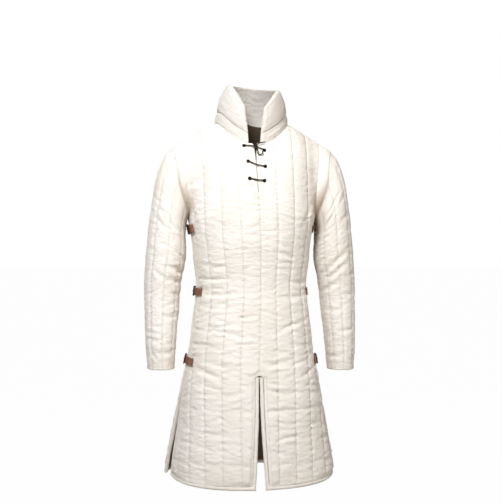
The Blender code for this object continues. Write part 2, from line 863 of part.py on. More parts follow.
def side_point(side, distance, level, lift):
    """A point on the side of the body; distance runs back from the front panel's edge."""
    _, front_edge, _ = FRONT.section(level)
    _, back_edge, _ = BACK.section(level)
    gap = 2 * read_table(SIDE_GAP, level, 1)
    if distance <= 0:
        panel, length = FRONT, front_edge + distance
    elif distance >= gap:
        panel, length = BACK, back_edge - (distance - gap)
    else:
        share = distance / gap
        front = side_point(side, 0, level, lift)
        return front.lerp(side_point(side, gap, level, lift), share)
    here = panel.place(side, length, level)
    before = panel.place(side, length - NEAR_STEP, level)
    above = panel.place(side, length, level + NEAR_STEP)
    below = panel.place(side, length, level - NEAR_STEP)
    along_edge = (here - before).normalized()
    up = above - below
    outward = along_edge.cross(up).normalized()
    if outward.x * side < 0:
        outward = -outward
    return here + outward * lift


def build_strip(name, side, level, span, lift, steps):
    """A strip of leather bent round the side of the body."""
    start, end = span
    marks = [start + (end - start) * step / steps for step in range(steps + 1)]
    outer = []
    inner = []
    for height in (-STRAP_HALF, STRAP_HALF):
        at = level + height
        outer.append([side_point(side, mark, at, lift + STRAP_THICK) for mark in marks])
        inner.append([side_point(side, mark, at, lift) for mark in marks])
    build_wall(name, outer, inner, False, "leather")


def build_buckle(name, side, level, centre, strap_lift):
    """A square frame with a middle bar, bent to the side of the body."""
    half = BUCKLE_LENGTH / 2
    bar = BUCKLE_BAR
    marks = (-half, -half + bar, -bar / 2, bar / 2, half - bar, half)
    heights = (-BUCKLE_HALF, -BUCKLE_HALF + bar, BUCKLE_HALF - bar, BUCKLE_HALF)
    lift = strap_lift + STRAP_THICK + SEAM_GAP
    outer = []
    inner = []
    for height in heights:
        at = level + height
        places = [centre + mark for mark in marks]
        outer.append([side_point(side, place, at, lift + BUCKLE_THICK) for place in places])
        inner.append([side_point(side, place, at, lift) for place in places])
    build_wall(name, outer, inner, False, "buckle", holes=((1, 1), (1, 3)))


def build_straps():
    for side_name, side in (("left", -1), ("right", 1)):
        for number, (level, set_back, lift) in enumerate(STRAPS, start=1):
            if side > 0 and number == len(STRAPS):
                set_back = RIGHT_LOW_SET_BACK
            centre = 2 * read_table(SIDE_GAP, level, 1) + set_back
            strap_span = (-STRAP_LENGTH, centre - SEAM_GAP / 2)
            tab_end = max(centre, 2 * read_table(SIDE_GAP, level, 1)) + TAB_LENGTH
            tab_span = (centre + SEAM_GAP / 2, tab_end)
            ending = f"{side_name}_{number}"
            build_strip(f"strap_{ending}", side, level, strap_span, lift, STRAP_STEPS)
            build_strip(f"tab_{ending}", side, level, tab_span, lift, TAB_STEPS)
            build_buckle(f"buckle_{ending}", side, level, centre, lift)


class FrontSkin:
    """The front panel's outer surface, found by a straight line from before it."""

    def __init__(self, item):
        body = bmesh.new()
        body.from_mesh(item.data)
        self.tree = BVHTree.FromBMesh(body)
        body.free()

    def cast(self, x, z):
        hit, normal, _, _ = self.tree.ray_cast(Vector((x, -1.0, z)), Vector((0, 1, 0)))
        return hit, normal

    def at(self, x, z, out):
        """The point at a height over the cloth; over the slit, between its two sides."""
        hit, normal = self.cast(x, z)
        if hit is None or abs(normal.y) < FACING_FRONT:
            left, left_normal = self.cast(x - SLIT_REACH, z)
            right, right_normal = self.cast(x + SLIT_REACH, z)
            hit = (left + right) / 2
            normal = (left_normal + right_normal).normalized()
        if normal.y > 0:
            normal = -normal
        return hit + normal * out, normal


def build_eyelets(front, skin):
    """Six rings on the front, and the holes under them cut through its wall."""
    ends = {}
    for name, x, z in EYELETS:
        base, normal = skin.at(x, z, EYELET_LIFT)
        ends[name] = (base - normal * EYELET_LIFT, normal)
        turn = normal.to_track_quat("Z", "Y")
        outer = []
        inner = []
        for radius in (EYELET_HOLE, EYELET_RADIUS):
            ring_out = []
            ring_in = []
            for step in range(EYELET_SIDES):
                angle = 2 * math.pi * step / EYELET_SIDES
                flat = Vector((math.cos(angle), math.sin(angle), 0)) * radius
                ring_in.append(base + turn @ flat)
                ring_out.append(base + turn @ (flat + Vector((0, 0, EYELET_THICK))))
            outer.append(ring_out)
            inner.append(ring_in)
        build_wall(f"eyelet_{name}", outer, inner, True, "eyelet")
        cut_hole(front, name, base, normal)
    return ends


def cut_hole(front, name, base, normal):
    cutter_mesh = bpy.data.meshes.new(f"cutter_{name}")
    body = bmesh.new()
    bmesh.ops.create_cone(
        body, cap_ends=True, segments=HOLE_SIDES, radius1=EYELET_HOLE, radius2=EYELET_HOLE,
        depth=HOLE_LENGTH,
    )
    body.to_mesh(cutter_mesh)
    body.free()
    cutter = bpy.data.objects.new(f"cutter_{name}", cutter_mesh)
    bpy.context.scene.collection.objects.link(cutter)
    cutter.rotation_mode = "QUATERNION"
    cutter.rotation_quaternion = normal.to_track_quat("Z", "Y")
    cutter.location = base - normal * HOLE_DEPTH
    cutter.hide_render = True
    cutter.display_type = "WIRE"
    cut = front.modifiers.new(f"hole_{name}", "BOOLEAN")
    cut.operation = "DIFFERENCE"
    cut.solver = "EXACT"
    cut.object = cutter


def smooth_route(route, step_length):
    """Points on a smooth curve that passes through all of a route's own points."""
    points = [route[0]]
    for index in range(len(route) - 1):
        before = route[max(index - 1, 0)]
        low = route[index]
        high = route[index + 1]
        after = route[min(index + 2, len(route) - 1)]
        reach = (high - low).length
        out_slope = (high - before).normalized() * reach
        in_slope = (after - low).normalized() * reach
        parts = max(1, round(reach / step_length))
        for part in range(1, parts + 1):
            t = part / parts
            ease = t * t * (3 - 2 * t)
            bend = out_slope * (t * (1 - t) ** 2) - in_slope * (t * t * (1 - t))
            points.append(low.lerp(high, ease) + bend)
    return points


def build_cord(name, points):
    curve = bpy.data.curves.new(name, "CURVE")
    curve.dimensions = "3D"
    curve.bevel_depth = LACE_RADIUS
    curve.bevel_resolution = 2
    curve.use_fill_caps = True
    spline = curve.splines.new("POLY")
    spline.points.add(len(points) - 1)
    for slot, point in zip(spline.points, points):
        slot.co = (*point, 1.0)
    add_object(name, curve, "lace")


def build_lace(skin, ends):
    """The lace: three bars outside, its ladder inside, and the knot with its ends."""
    knot_centre, _ = skin.at(*KNOT, KNOT_OUT)
    across = Vector((KNOT_SIZE[0] + SEAM_GAP, 0, 0))
    start = knot_centre - across + Vector((0, 0, KNOT_START_RISE))
    finish = knot_centre + across - Vector((0, 0, KNOT_FINISH_DROP))

    def out_through(name):
        """Points on the axis of an eyelet, from behind the cloth to before it."""
        base, normal = ends[name]
        return [base + normal * out for out in LACE_THROUGH]

    def in_through(name):
        return out_through(name)[::-1]

    def bar(left, right, sag):
        middle = (ends[left][0] + ends[right][0]) / 2
        return [skin.at(middle.x, middle.z - sag, BAR_OUT)[0]]

    def over(point):
        return [skin.at(*point, KNOT_WAY_OUT)[0]]

    def behind(points):
        return [skin.at(*point, LACE_IN)[0] for point in points]

    route = [start]
    route += over(LACE_FROM_KNOT)
    route += in_through("left_1")
    route += behind(BEHIND_TOP)
    route += out_through("right_2")
    route += bar("left_2", "right_2", MIDDLE_BAR_SAG)
    route += in_through("left_2")
    route += behind(BEHIND_LEFT)
    route += out_through("left_3")
    route += bar("left_3", "right_3", LOW_BAR_SAG)
    route += in_through("right_3")
    route += behind(BEHIND_RIGHT)
    route += out_through("right_1")
    route += over(LACE_TO_KNOT)
    route.append(finish)
    build_cord("lace", smooth_route(route, LACE_STEP))
    build_knot(knot_centre)
    build_free_ends(skin, knot_centre)


def build_knot(centre):
    mesh = bpy.data.meshes.new("lace_knot")
    body = bmesh.new()
    bmesh.ops.create_icosphere(body, subdivisions=2, radius=1.0)
    for vertex in body.verts:
        vertex.co = Vector([c * s for c, s in zip(vertex.co, KNOT_SIZE)]) + centre
    body.to_mesh(mesh)
    body.free()
    mesh.shade_smooth()
    add_object("lace_knot", mesh, "lace")


def build_free_ends(skin, knot_centre):
    """The small loop and the two short ends that leave the knot."""

    def at_knot(degrees):
        """A point just off the knot, seen from before it."""
        angle = math.radians(degrees)
        size_x, _, size_z = KNOT_SIZE
        flat = Vector((math.cos(angle) / size_x, 0, math.sin(angle) / size_z)).normalized()
        rim = Vector((math.cos(angle) * size_x, 0, math.sin(angle) * size_z))
        return knot_centre + rim + flat * KNOT_CLEAR

    loop = [at_knot(LOOP_FROM)]
    centre = skin.at(*LOOP_CENTRE, LOOP_OUT)[0]
    for degrees in LOOP_ANGLES:
        angle = math.radians(degrees)
        loop.append(centre + Vector((math.cos(angle), 0, math.sin(angle))) * LOOP_RADIUS)
    build_cord("lace_loop", smooth_route(loop, FREE_STEP))
    tail_via = skin.at(*TAIL_VIA, FREE_OUT)[0]
    tail_end = skin.at(*TAIL_END, FREE_OUT)[0]
    build_cord("lace_tail", smooth_route([at_knot(TAIL_FROM), tail_via, tail_end], FREE_STEP))
    stub_end = skin.at(*STUB_END, FREE_OUT)[0]
    build_cord("lace_stub", smooth_route([at_knot(STUB_FROM), stub_end], FREE_STEP))


def main():
    clear_scene()
    front_grids = panel_grids(FRONT)
    back_grids = panel_grids(BACK)
    front = build_panel("front", front_grids)
    build_panel("back", back_grids)
    for name, side in (("sleeve_left", -1), ("sleeve_right", 1)):
        outer, inner = sleeve_grids(side, front_grids, back_grids)
        build_wall(name, outer, inner, True, "canvas")
    base_outer, base_inner = collar_base(front_grids, back_grids)
    for name, rows, bulge in (
        ("collar_band", BAND_ROWS, 0.0),
        ("collar_upper", UPPER_COLLAR_ROWS, COLLAR_PUFF),
    ):
        outer, inner = collar_grids(base_outer, base_inner, rows, bulge)
        build_wall(name, outer, inner, False, "canvas")
    build_rolls(front_grids, back_grids)
    build_straps()
    skin = FrontSkin(front)
    ends = build_eyelets(front, skin)
    build_lace(skin, ends)


main()
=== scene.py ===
"""Looks for the gambeson: quilted canvas shells, rolled edges, leather straps, eyelets and lace."""

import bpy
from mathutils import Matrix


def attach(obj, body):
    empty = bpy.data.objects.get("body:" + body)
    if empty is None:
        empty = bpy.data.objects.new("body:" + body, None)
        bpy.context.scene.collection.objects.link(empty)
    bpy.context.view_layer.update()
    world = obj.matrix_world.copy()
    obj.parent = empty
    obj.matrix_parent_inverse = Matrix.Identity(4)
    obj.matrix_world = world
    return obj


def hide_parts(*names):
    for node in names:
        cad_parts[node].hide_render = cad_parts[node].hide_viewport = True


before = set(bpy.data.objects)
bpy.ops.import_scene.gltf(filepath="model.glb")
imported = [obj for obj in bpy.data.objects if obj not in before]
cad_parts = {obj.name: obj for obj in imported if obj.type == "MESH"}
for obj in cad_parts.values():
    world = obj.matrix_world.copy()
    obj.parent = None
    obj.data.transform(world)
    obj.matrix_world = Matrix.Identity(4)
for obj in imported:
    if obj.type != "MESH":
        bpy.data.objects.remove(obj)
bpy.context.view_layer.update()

import math

import bmesh
import bpy
import numpy as np
from mathutils import Vector
from mathutils.bvhtree import BVHTree

# Camera
DISTANCE = 2.6
CAMERA_Z = -0.322
AZIMUTH = -9.0
LENS = 71.71

# The coat's form, the same as its solids'
SEAM_GAP = 0.0003
SLEEVE_SHIFT = 0.0007
WALL = 0.006
PITCH = 0.047
LEAST_CHANNELS = 4.55
FULL_CHANNELS = 4
NARROW_CHANNEL = 0.045
WIDE_CHANNEL = 0.065
SQUARENESS = 2.4
ARC_STEPS = 120
HEM_Z = -0.894
HEM_DIP = 0.014
LOWEST_ROW = -0.8837
UNDERARM_Z = -0.235
SHOULDER_Z = -0.061
SHOULDER_HALF = 0.209
SHOULDER_SLOPE = 0.583
NECK_HALF = 0.094
NECK_COLUMN = 2
ARMHOLE_HALF = 0.052
ARMHOLE_CENTRE = (0.172, -0.150)
CHEST_CURVE = 0.42
SEAM_INWARD = 0.45
SKIRT_SLIT_TOP = -0.630
LACING_SLIT_SHARE = 0.38
ROLL_RADIUS = 0.0050

# Level, half width of the front and of the back, depth of the front and of the back
BODY = np.array((
    (-0.900, 0.211, 0.224, 0.163, 0.163),
    (-0.839, 0.204, 0.214, 0.158, 0.155),
    (-0.767, 0.192, 0.199, 0.149, 0.147),
    (-0.709, 0.183, 0.188, 0.141, 0.140),
    (-0.657, 0.174, 0.177, 0.133, 0.133),
    (-0.585, 0.160, 0.161, 0.122, 0.124),
    (-0.520, 0.1525, 0.1525, 0.114, 0.112),
    (-0.475, 0.147, 0.147, 0.110, 0.103),
    (-0.423, 0.1405, 0.1405, 0.107, 0.096),
    (-0.397, 0.141, 0.141, 0.108, 0.097),
    (-0.345, 0.148, 0.148, 0.114, 0.103),
    (-0.301, 0.151, 0.151, 0.121, 0.110),
    (-0.235, 0.163, 0.163, 0.126, 0.118),
))
# Level and half width of the armhole's edge
ARMHOLE = (
    (-0.235, 0.163), (-0.209, 0.173), (-0.175, 0.185),
    (-0.144, 0.192), (-0.090, 0.199), (-0.061, 0.209),
)
# Level and half the width of the open side
SIDE_GAP = ((-0.900, 0.026), (-0.700, 0.019), (-0.423, 0.016), (-0.235, 0.010))
# Level and how far the front's middle leans to one side
MIDDLE_LINE = (
    (-0.900, -0.001), (-0.630, 0.001), (-0.440, 0.008), (-0.300, 0.006),
    (-0.200, 0.001), (-0.120, -0.0035), (-0.050, -0.005),
)
# Level and half the width of the skirt slit
SKIRT_SLIT = (
    (-0.909, 0.0138), (-0.860, 0.0100), (-0.810, 0.0068),
    (-0.760, 0.0040), (-0.700, 0.0018), (-0.630, 0.0008),
)
# Share of the way up the chest and half the width of the lacing slit
LACING_SLIT = (
    (0.375, 0.0006), (0.500, 0.0007), (0.625, 0.0009), (0.750, 0.0024), (0.875, 0.0042), (1.000, 0.0050),
)
# Outer x and z, inner x and z, half depth, y of the middle, share of the quilting's fullness
SLEEVE = np.array((
    (0.2235, -0.0785, 0.1675, -0.243, 0.0550, 0.000, 0.5),
    (0.2365, -0.1100, 0.1700, -0.252, 0.0570, 0.001, 1.0),
    (0.2455, -0.1410, 0.1715, -0.263, 0.0585, 0.002, 1.0),
    (0.2520, -0.1800, 0.1725, -0.276, 0.0590, 0.003, 1.0),
    (0.2585, -0.2206, 0.1725, -0.294, 0.0590, 0.004, 1.0),
    (0.2640, -0.2650, 0.1710, -0.316, 0.0580, 0.005, 1.0),
    (0.2695, -0.3300, 0.1725, -0.350, 0.0560, 0.007, 1.0),
    (0.2735, -0.3900, 0.1815, -0.392, 0.0530, 0.008, 1.0),
    (0.2745, -0.4370, 0.1865, -0.437, 0.0500, 0.007, 0.9),
    (0.2735, -0.4850, 0.1905, -0.485, 0.0480, 0.002, 1.0),
    (0.2725, -0.5300, 0.1955, -0.530, 0.0460, -0.003, 1.0),
    (0.2710, -0.5770, 0.1990, -0.577, 0.0430, -0.008, 1.0),
    (0.2690, -0.6140, 0.2005, -0.614, 0.0410, -0.011, 0.4),
    (0.2685, -0.6300, 0.2010, -0.630, 0.0400, -0.012, 0.0),
))
COLLAR_MIDDLE = -0.0065
COLLAR_BASE_GAP = 0.0155
COLLAR_TOP_GAP = 0.0255
COLLAR_TOP_HALF = 0.066
COLLAR_TOP_DEPTH = 0.070
COLLAR_TOP_Y = -0.034
COLLAR_TOP_Z = 0.098
COLLAR_CORNER_Z = 0.038
COLLAR_BACK_RISE = 0.008
COLLAR_TILT = -0.08
COLLAR_WALL = 0.009
COLLAR_CURVE = 1.6
BAND_TOP = 0.290
UPPER_BOTTOM = 0.2935

# Detail of the cloth
ROW_STEP = 0.0036
UPPER_ROWS = 78
CHANNEL_MARKS = (0, 0.03, 0.09, 0.17, 0.27, 0.38, 0.50, 0.62, 0.73, 0.83, 0.91, 0.97)
LAST_STEPS = 20
CROSS_SEAMS = (-0.851, -0.721)
SEAM_FADE = 0.013
PILLOW = 4.0
LEFT_CUFF_RISE = 0.008
SHOWN_PUFF = 0.0023
STITCH_LENGTH = 0.0034
RIDGE_SHARE = 0.45
CREASE_RIDGE = 0.42
RIDGE_PLACE = 1.9
CREASE_STEPS = 10
CREASE_REACH = 0.04
PUCKER_TALL = 0.014
PUCKER_WIDE = 0.024
# Puckers: least and most step to the next one, depth and reach, then how unevenly they slope
PANEL_PUCKER = ((0.008, 0.019), (0.0007, 0.0021), (0.007, 0.016), 0.28)
SLEEVE_PUCKER = ((0.009, 0.021), (0.0005, 0.0015), (0.006, 0.014), 0.30)
PUCKER_WIDTH = (0.0024, 0.0040)
PUCKER_SHIFT = 0.0025
SKIRT_COLUMN = 4.5
SKIRT_TOP = -0.66
NECK_TOP = -0.02
ARM_TOP = -0.10
# Drag lines: count, added seed, lowest and highest corner, least and most length, tilt
PANEL_DRAGS = (
    (110, 1, (-0.19, -0.88), (0.19, -0.26), (0.018, 0.060), 0.22),
    (46, 2, (-0.16, -0.70), (0.16, -0.42), (0.022, 0.075), 0.18),
    (30, 3, (-0.18, -0.26), (0.18, 0.00), (0.015, 0.045), 0.5),
)
DRAG_BOW = 0.25
DRAG_DEPTH = (0.0007, 0.0022)
DRAG_WIDTH = (0.0028, 0.0055)
NOISE_SIZE = 96
FRONT_SEED = 11
BACK_SEED = 71
TURNS = 16
SLEEVE_CHANNELS = 8
SLEEVE_STEP = 0.0038
CUFF_ROUND = 0.0030
# How far from the cuff's end each seam is, and its depth
CUFF_SEAMS = ((0.0125, 0.0013), (0.0065, 0.0009))
LEFT_SEED = 211
RIGHT_SEED = 307
SEAM_LINE = 0.0009
# Width of the painted shade along the armhole seam
SEAM_SHADE_WIDTH = 0.0042

# Straps and buckles: level, how far behind the open side the buckle sits, lift over the base surface
STRAPS = ((-0.264, 0.026, 0.0037), (-0.426, 0.014, 0.0044), (-0.603, 0.014, 0.0036))
RIGHT_LOW_SET_BACK = -0.031
STRAP_HALF = 0.010
STRAP_THICK = 0.0022
STRAP_LENGTH = 0.034
SEWN_DROP = 0.0010
TAB_LENGTH = 0.038
BUCKLE_HALF = 0.0135
BUCKLE_LENGTH = 0.024
BUCKLE_WIRE = 0.0015
BUCKLE_CORNER = 0.0034
# The prong's points: how far from the middle bar, and how high
PRONG = ((0.0004, 0.0022), (-0.003, 0.0024), (-0.006, 0.0018), (-0.009, 0.0020), (-0.0118, 0.0024))
PRONG_RADIUS = 0.0011
PRONG_RING = 0.0020
STRAP_STITCH = 0.0026
STRAP_THREAD = 0.00040

# Eyelets and lace
EYELETS = (
    ("left_1", -0.0333, -0.0588),
    ("right_1", 0.0174, -0.0700),
    ("left_2", -0.0247, -0.0987),
    ("right_2", 0.0179, -0.1113),
    ("left_3", -0.0222, -0.1420),
    ("right_3", 0.0146, -0.1472),
)
EYELET_RADIUS = 0.0047
EYELET_HOLE = 0.0029
EYELET_HEIGHT = 0.0019
LACE_RADIUS = 0.0014
LACE_OUT = 0.0036
LACE_IN = -0.0125
LACE_STEP = 0.0030
SLIT_REACH = 0.0100
KNOT = (-0.0045, -0.0640)
KNOT_SIZE = (0.0046, 0.0034, 0.0038)
KNOT_OUT = 0.0052
# Size and tilt of each turn of the knot
KNOT_TURNS = ((1.0, 0.35), (0.92, -0.65), (0.8, 1.3))
LOOP_CENTRE = (0.0062, -0.0775)
LOOP_RADIUS = 0.0064
TAIL_END = (0.0098, -0.0520)
STUB_END = (-0.0135, -0.0545)
KNOT_CLEAR = 0.0009

# Colours
CANVAS = (0.862, 0.836, 0.800)
# A darker copy of the canvas for the collar: painted shade for the tilted collar
SHADED_COLLAR_CANVAS = (0.752, 0.722, 0.695)
ROLL_CANVAS = (0.835, 0.805, 0.765)
# Brown lining on the inner faces, made very dark to paint in the shade inside the coat
LINING_WITH_PAINTED_SHADE = (0.115, 0.080, 0.052)
STEEL = (0.022, 0.020, 0.019)
WORN_STEEL = (0.11, 0.10, 0.09)
ENAMEL = (0.005, 0.005, 0.005)
WORN_ENAMEL = (0.020, 0.019, 0.018)

# Studio
FLOOR_Z = -1.30
AMBIENT = 0.17
AMBIENT_COLOR = (1.0, 0.92, 0.82, 1)
LIGHTS = (
    ("key", (-0.70, -1.45, 0.85), 0.55, 41.0, (0.995, 0.995, 1.0)),
    ("fill", (1.25, -1.70, 0.60), 0.9, 17.0, (1.0, 0.93, 0.85)),
    ("back", (-0.6, 2.6, 1.4), 1.8, 46.0, (1.0, 0.97, 0.93)),
)


def make_camera():
    data = bpy.data.cameras.new("camera")
    data.lens = LENS
    data.sensor_width = 36
    camera = bpy.data.objects.new("camera", data)
    bpy.context.scene.collection.objects.link(camera)
    turn = math.radians(AZIMUTH)
    camera.location = (DISTANCE * math.sin(turn), -DISTANCE * math.cos(turn), CAMERA_Z)
    camera.rotation_euler = (math.pi / 2, 0, turn)
    bpy.context.scene.camera = camera


make_camera()


def table_value(table, key, column=1):
    """Smooth value of a column at one key."""
    key = min(max(key, table[0][0]), table[-1][0])
    last = len(table) - 2
    index = 0
    while index < last and table[index + 1][0] < key:
        index += 1
    low, high = table[index], table[index + 1]
    before = table[max(index - 1, 0)]
    after = table[min(index + 2, len(table) - 1)]
    span = high[0] - low[0]
    t = (key - low[0]) / span
    slope_low = (high[column] - before[column]) / (high[0] - before[0]) * span
    slope_high = (after[column] - low[column]) / (after[0] - low[0]) * span
    rise = high[column] - low[column]
    bend = t * (1 - t)
    return low[column] + rise * t * t * (3 - 2 * t) + bend * (slope_low * (1 - t) - slope_high * t)


def table_values(table, keys, column=1):
    marks = np.linspace(table[0][0], table[-1][0], 200)
    values = [table_value(table, mark, column) for mark in marks]
    return np.interp(keys, marks, values)


def smooth(value, low, high):
    t = np.clip((value - low) / (high - low), 0.0, 1.0)
    return t * t * (3 - 2 * t)


def unit(vectors):
    return vectors / np.maximum(np.linalg.norm(vectors, axis=-1, keepdims=True), 1e-9)


def walk(points):
    """How far along a line each of its points is."""
    return np.concatenate([[0], np.cumsum(np.linalg.norm(np.diff(points, axis=0), axis=1))])


def at_distance(values, walked, target):
    return np.array([np.interp(target, walked, values[:, axis]) for axis in range(3)])


def bell(value, width):
    """A smooth bump of height 1."""
    return np.exp(-((value / width) ** 2))


def fold_shape(offset, width):
    """A trough with a low ridge at each side."""
    return bell(offset, width) - RIDGE_SHARE * bell(np.abs(offset) - RIDGE_PLACE * width, width)


def quads(index, order=(0, 1, 2, 3)):
    """Four-cornered faces between neighbours in a grid of point numbers."""
    corners = [index[:-1, :-1], index[:-1, 1:], index[1:, 1:], index[1:, :-1]]
    return np.stack([corners[corner].ravel() for corner in order], 1).tolist()


def end_faces(line, following, step):
    """Faces that close a wall's edge, where each inner point's number follows its outer one's."""
    return np.stack([line, following, following + 1, line + 1][::step], 1).tolist()


def wrapped(index, rows=False):
    """A grid of point numbers with its first column, and row if it is a ring, again at the end."""
    index = np.concatenate([index, index[:, :1]], axis=1)
    return np.concatenate([index, index[:1]]) if rows else index


def face_outward(mesh):
    body = bmesh.new()
    body.from_mesh(mesh)
    bmesh.ops.recalc_face_normals(body, faces=body.faces)
    body.to_mesh(mesh)
    body.free()


def noise(u, v, seed):
    """Smooth noise from -1 to 1, one lump for each unit of u and v."""
    table = np.random.RandomState(seed).rand(NOISE_SIZE, NOISE_SIZE) * 2 - 1
    u = np.asarray(u, float) + 1000
    v = np.asarray(v, float) + 1000
    iu = np.floor(u).astype(int)
    iv = np.floor(v).astype(int)
    fu = u - iu
    fv = v - iv
    fu = fu * fu * (3 - 2 * fu)
    fv = fv * fv * (3 - 2 * fv)
    next_u = (iu + 1) % NOISE_SIZE
    next_v = (iv + 1) % NOISE_SIZE
    iu = iu % NOISE_SIZE
    iv = iv % NOISE_SIZE
    a = table[iu, iv]
    b = table[next_u, iv]
    c = table[iu, next_v]
    d = table[next_u, next_v]
    return (a * (1 - fu) + b * fu) * (1 - fv) + (c * (1 - fu) + d * fu) * fv


def crease_field(across, up, creases):
    """Height from soft troughs along short bent lines, with a low ridge at each side."""
    height = np.zeros_like(across)
    for x0, z0, x1, z1, x2, z2, depth, width in creases:
        near = (across > min(x0, x1, x2) - CREASE_REACH) & (across < max(x0, x1, x2) + CREASE_REACH)
        near &= (up > min(z0, z1, z2) - CREASE_REACH) & (up < max(z0, z1, z2) + CREASE_REACH)
        a, u = across[near], up[near]
        if not a.size:
            continue
        best_near = np.full_like(a, 9.0)
        place_near = np.zeros_like(a)
        last = (x0, z0)
        for step in range(1, CREASE_STEPS + 1):
            t = step / CREASE_STEPS
            x = (1 - t) ** 2 * x0 + 2 * t * (1 - t) * x1 + t * t * x2
            z = (1 - t) ** 2 * z0 + 2 * t * (1 - t) * z1 + t * t * z2
            dx, dz = x - last[0], z - last[1]
            share = np.clip(((a - last[0]) * dx + (u - last[1]) * dz) / (dx * dx + dz * dz), 0, 1)
            distance = np.hypot(a - last[0] - dx * share, u - last[1] - dz * share)
            closer = distance < best_near
            best_near = np.where(closer, distance, best_near)
            place_near = np.where(closer, (step - 1 + share) / CREASE_STEPS, place_near)
            last = (x, z)
        taper = np.sin(np.pi * np.clip(place_near * 0.92 + 0.04, 0, 1)) ** 0.7
        ridge = bell(best_near - RIDGE_PLACE * width, width)
        height[near] += depth * taper * (CREASE_RIDGE * ridge - bell(best_near, width))
    return height


def drag_lines(count, seed, low, high, reach, tilt):
    """Short uneven creases that lie nearly level, spread over a stretch of cloth."""
    rng = np.random.RandomState(seed)
    lines = []
    for _ in range(count):
        x = rng.uniform(low[0], high[0])
        z = rng.uniform(low[1], high[1])
        half = rng.uniform(*reach) / 2
        slope = rng.normal(0, tilt)
        bow = rng.uniform(-DRAG_BOW, DRAG_BOW) * half
        depth = rng.uniform(*DRAG_DEPTH)
        width = rng.uniform(*DRAG_WIDTH)
        lines.append((x - half, z - half * slope, x, z + bow, x + half, z + half * slope, depth, width))
    return lines


def line_inside(item, inner_faces, material):
    """A second material on the faces of the inner side."""
    item.data.materials.append(material)
    slots = np.zeros(len(item.data.polygons), int)
    slots[inner_faces] = 1
    item.data.polygons.foreach_set("material_index", slots)


def make_object(name, points, faces, smooth_angle=60):
    mesh = bpy.data.meshes.new(name)
    mesh.from_pydata(points, [], faces)
    mesh.validate()
    mesh.shade_smooth()
    if smooth_angle:
        mesh.set_sharp_from_angle(angle=math.radians(smooth_angle))
    item = bpy.data.objects.new(name, mesh)
    bpy.context.scene.collection.objects.link(item)
    return item


def set_cloth(item, values):
    """The cloth's own coordinates: across and along in metres, and distance to the nearest seam line."""
    attribute = item.data.attributes.new("cloth", "FLOAT_VECTOR", "POINT")
    attribute.data.foreach_set("vector", np.ascontiguousarray(values, np.float32).ravel())


def set_painted_shade(item, values):
    """How much painted shade darkens the cloth, from 0 to 1."""
    attribute = item.data.attributes.new("soil_and_painted_shade", "FLOAT", "POINT")
    attribute.data.foreach_set("value", np.ascontiguousarray(values, np.float32).ravel())


def finish_piece(item, material, nodes=()):
    item.data.materials.append(material)
    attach(item, "root")
    if nodes:
        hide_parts(*nodes)
    return item


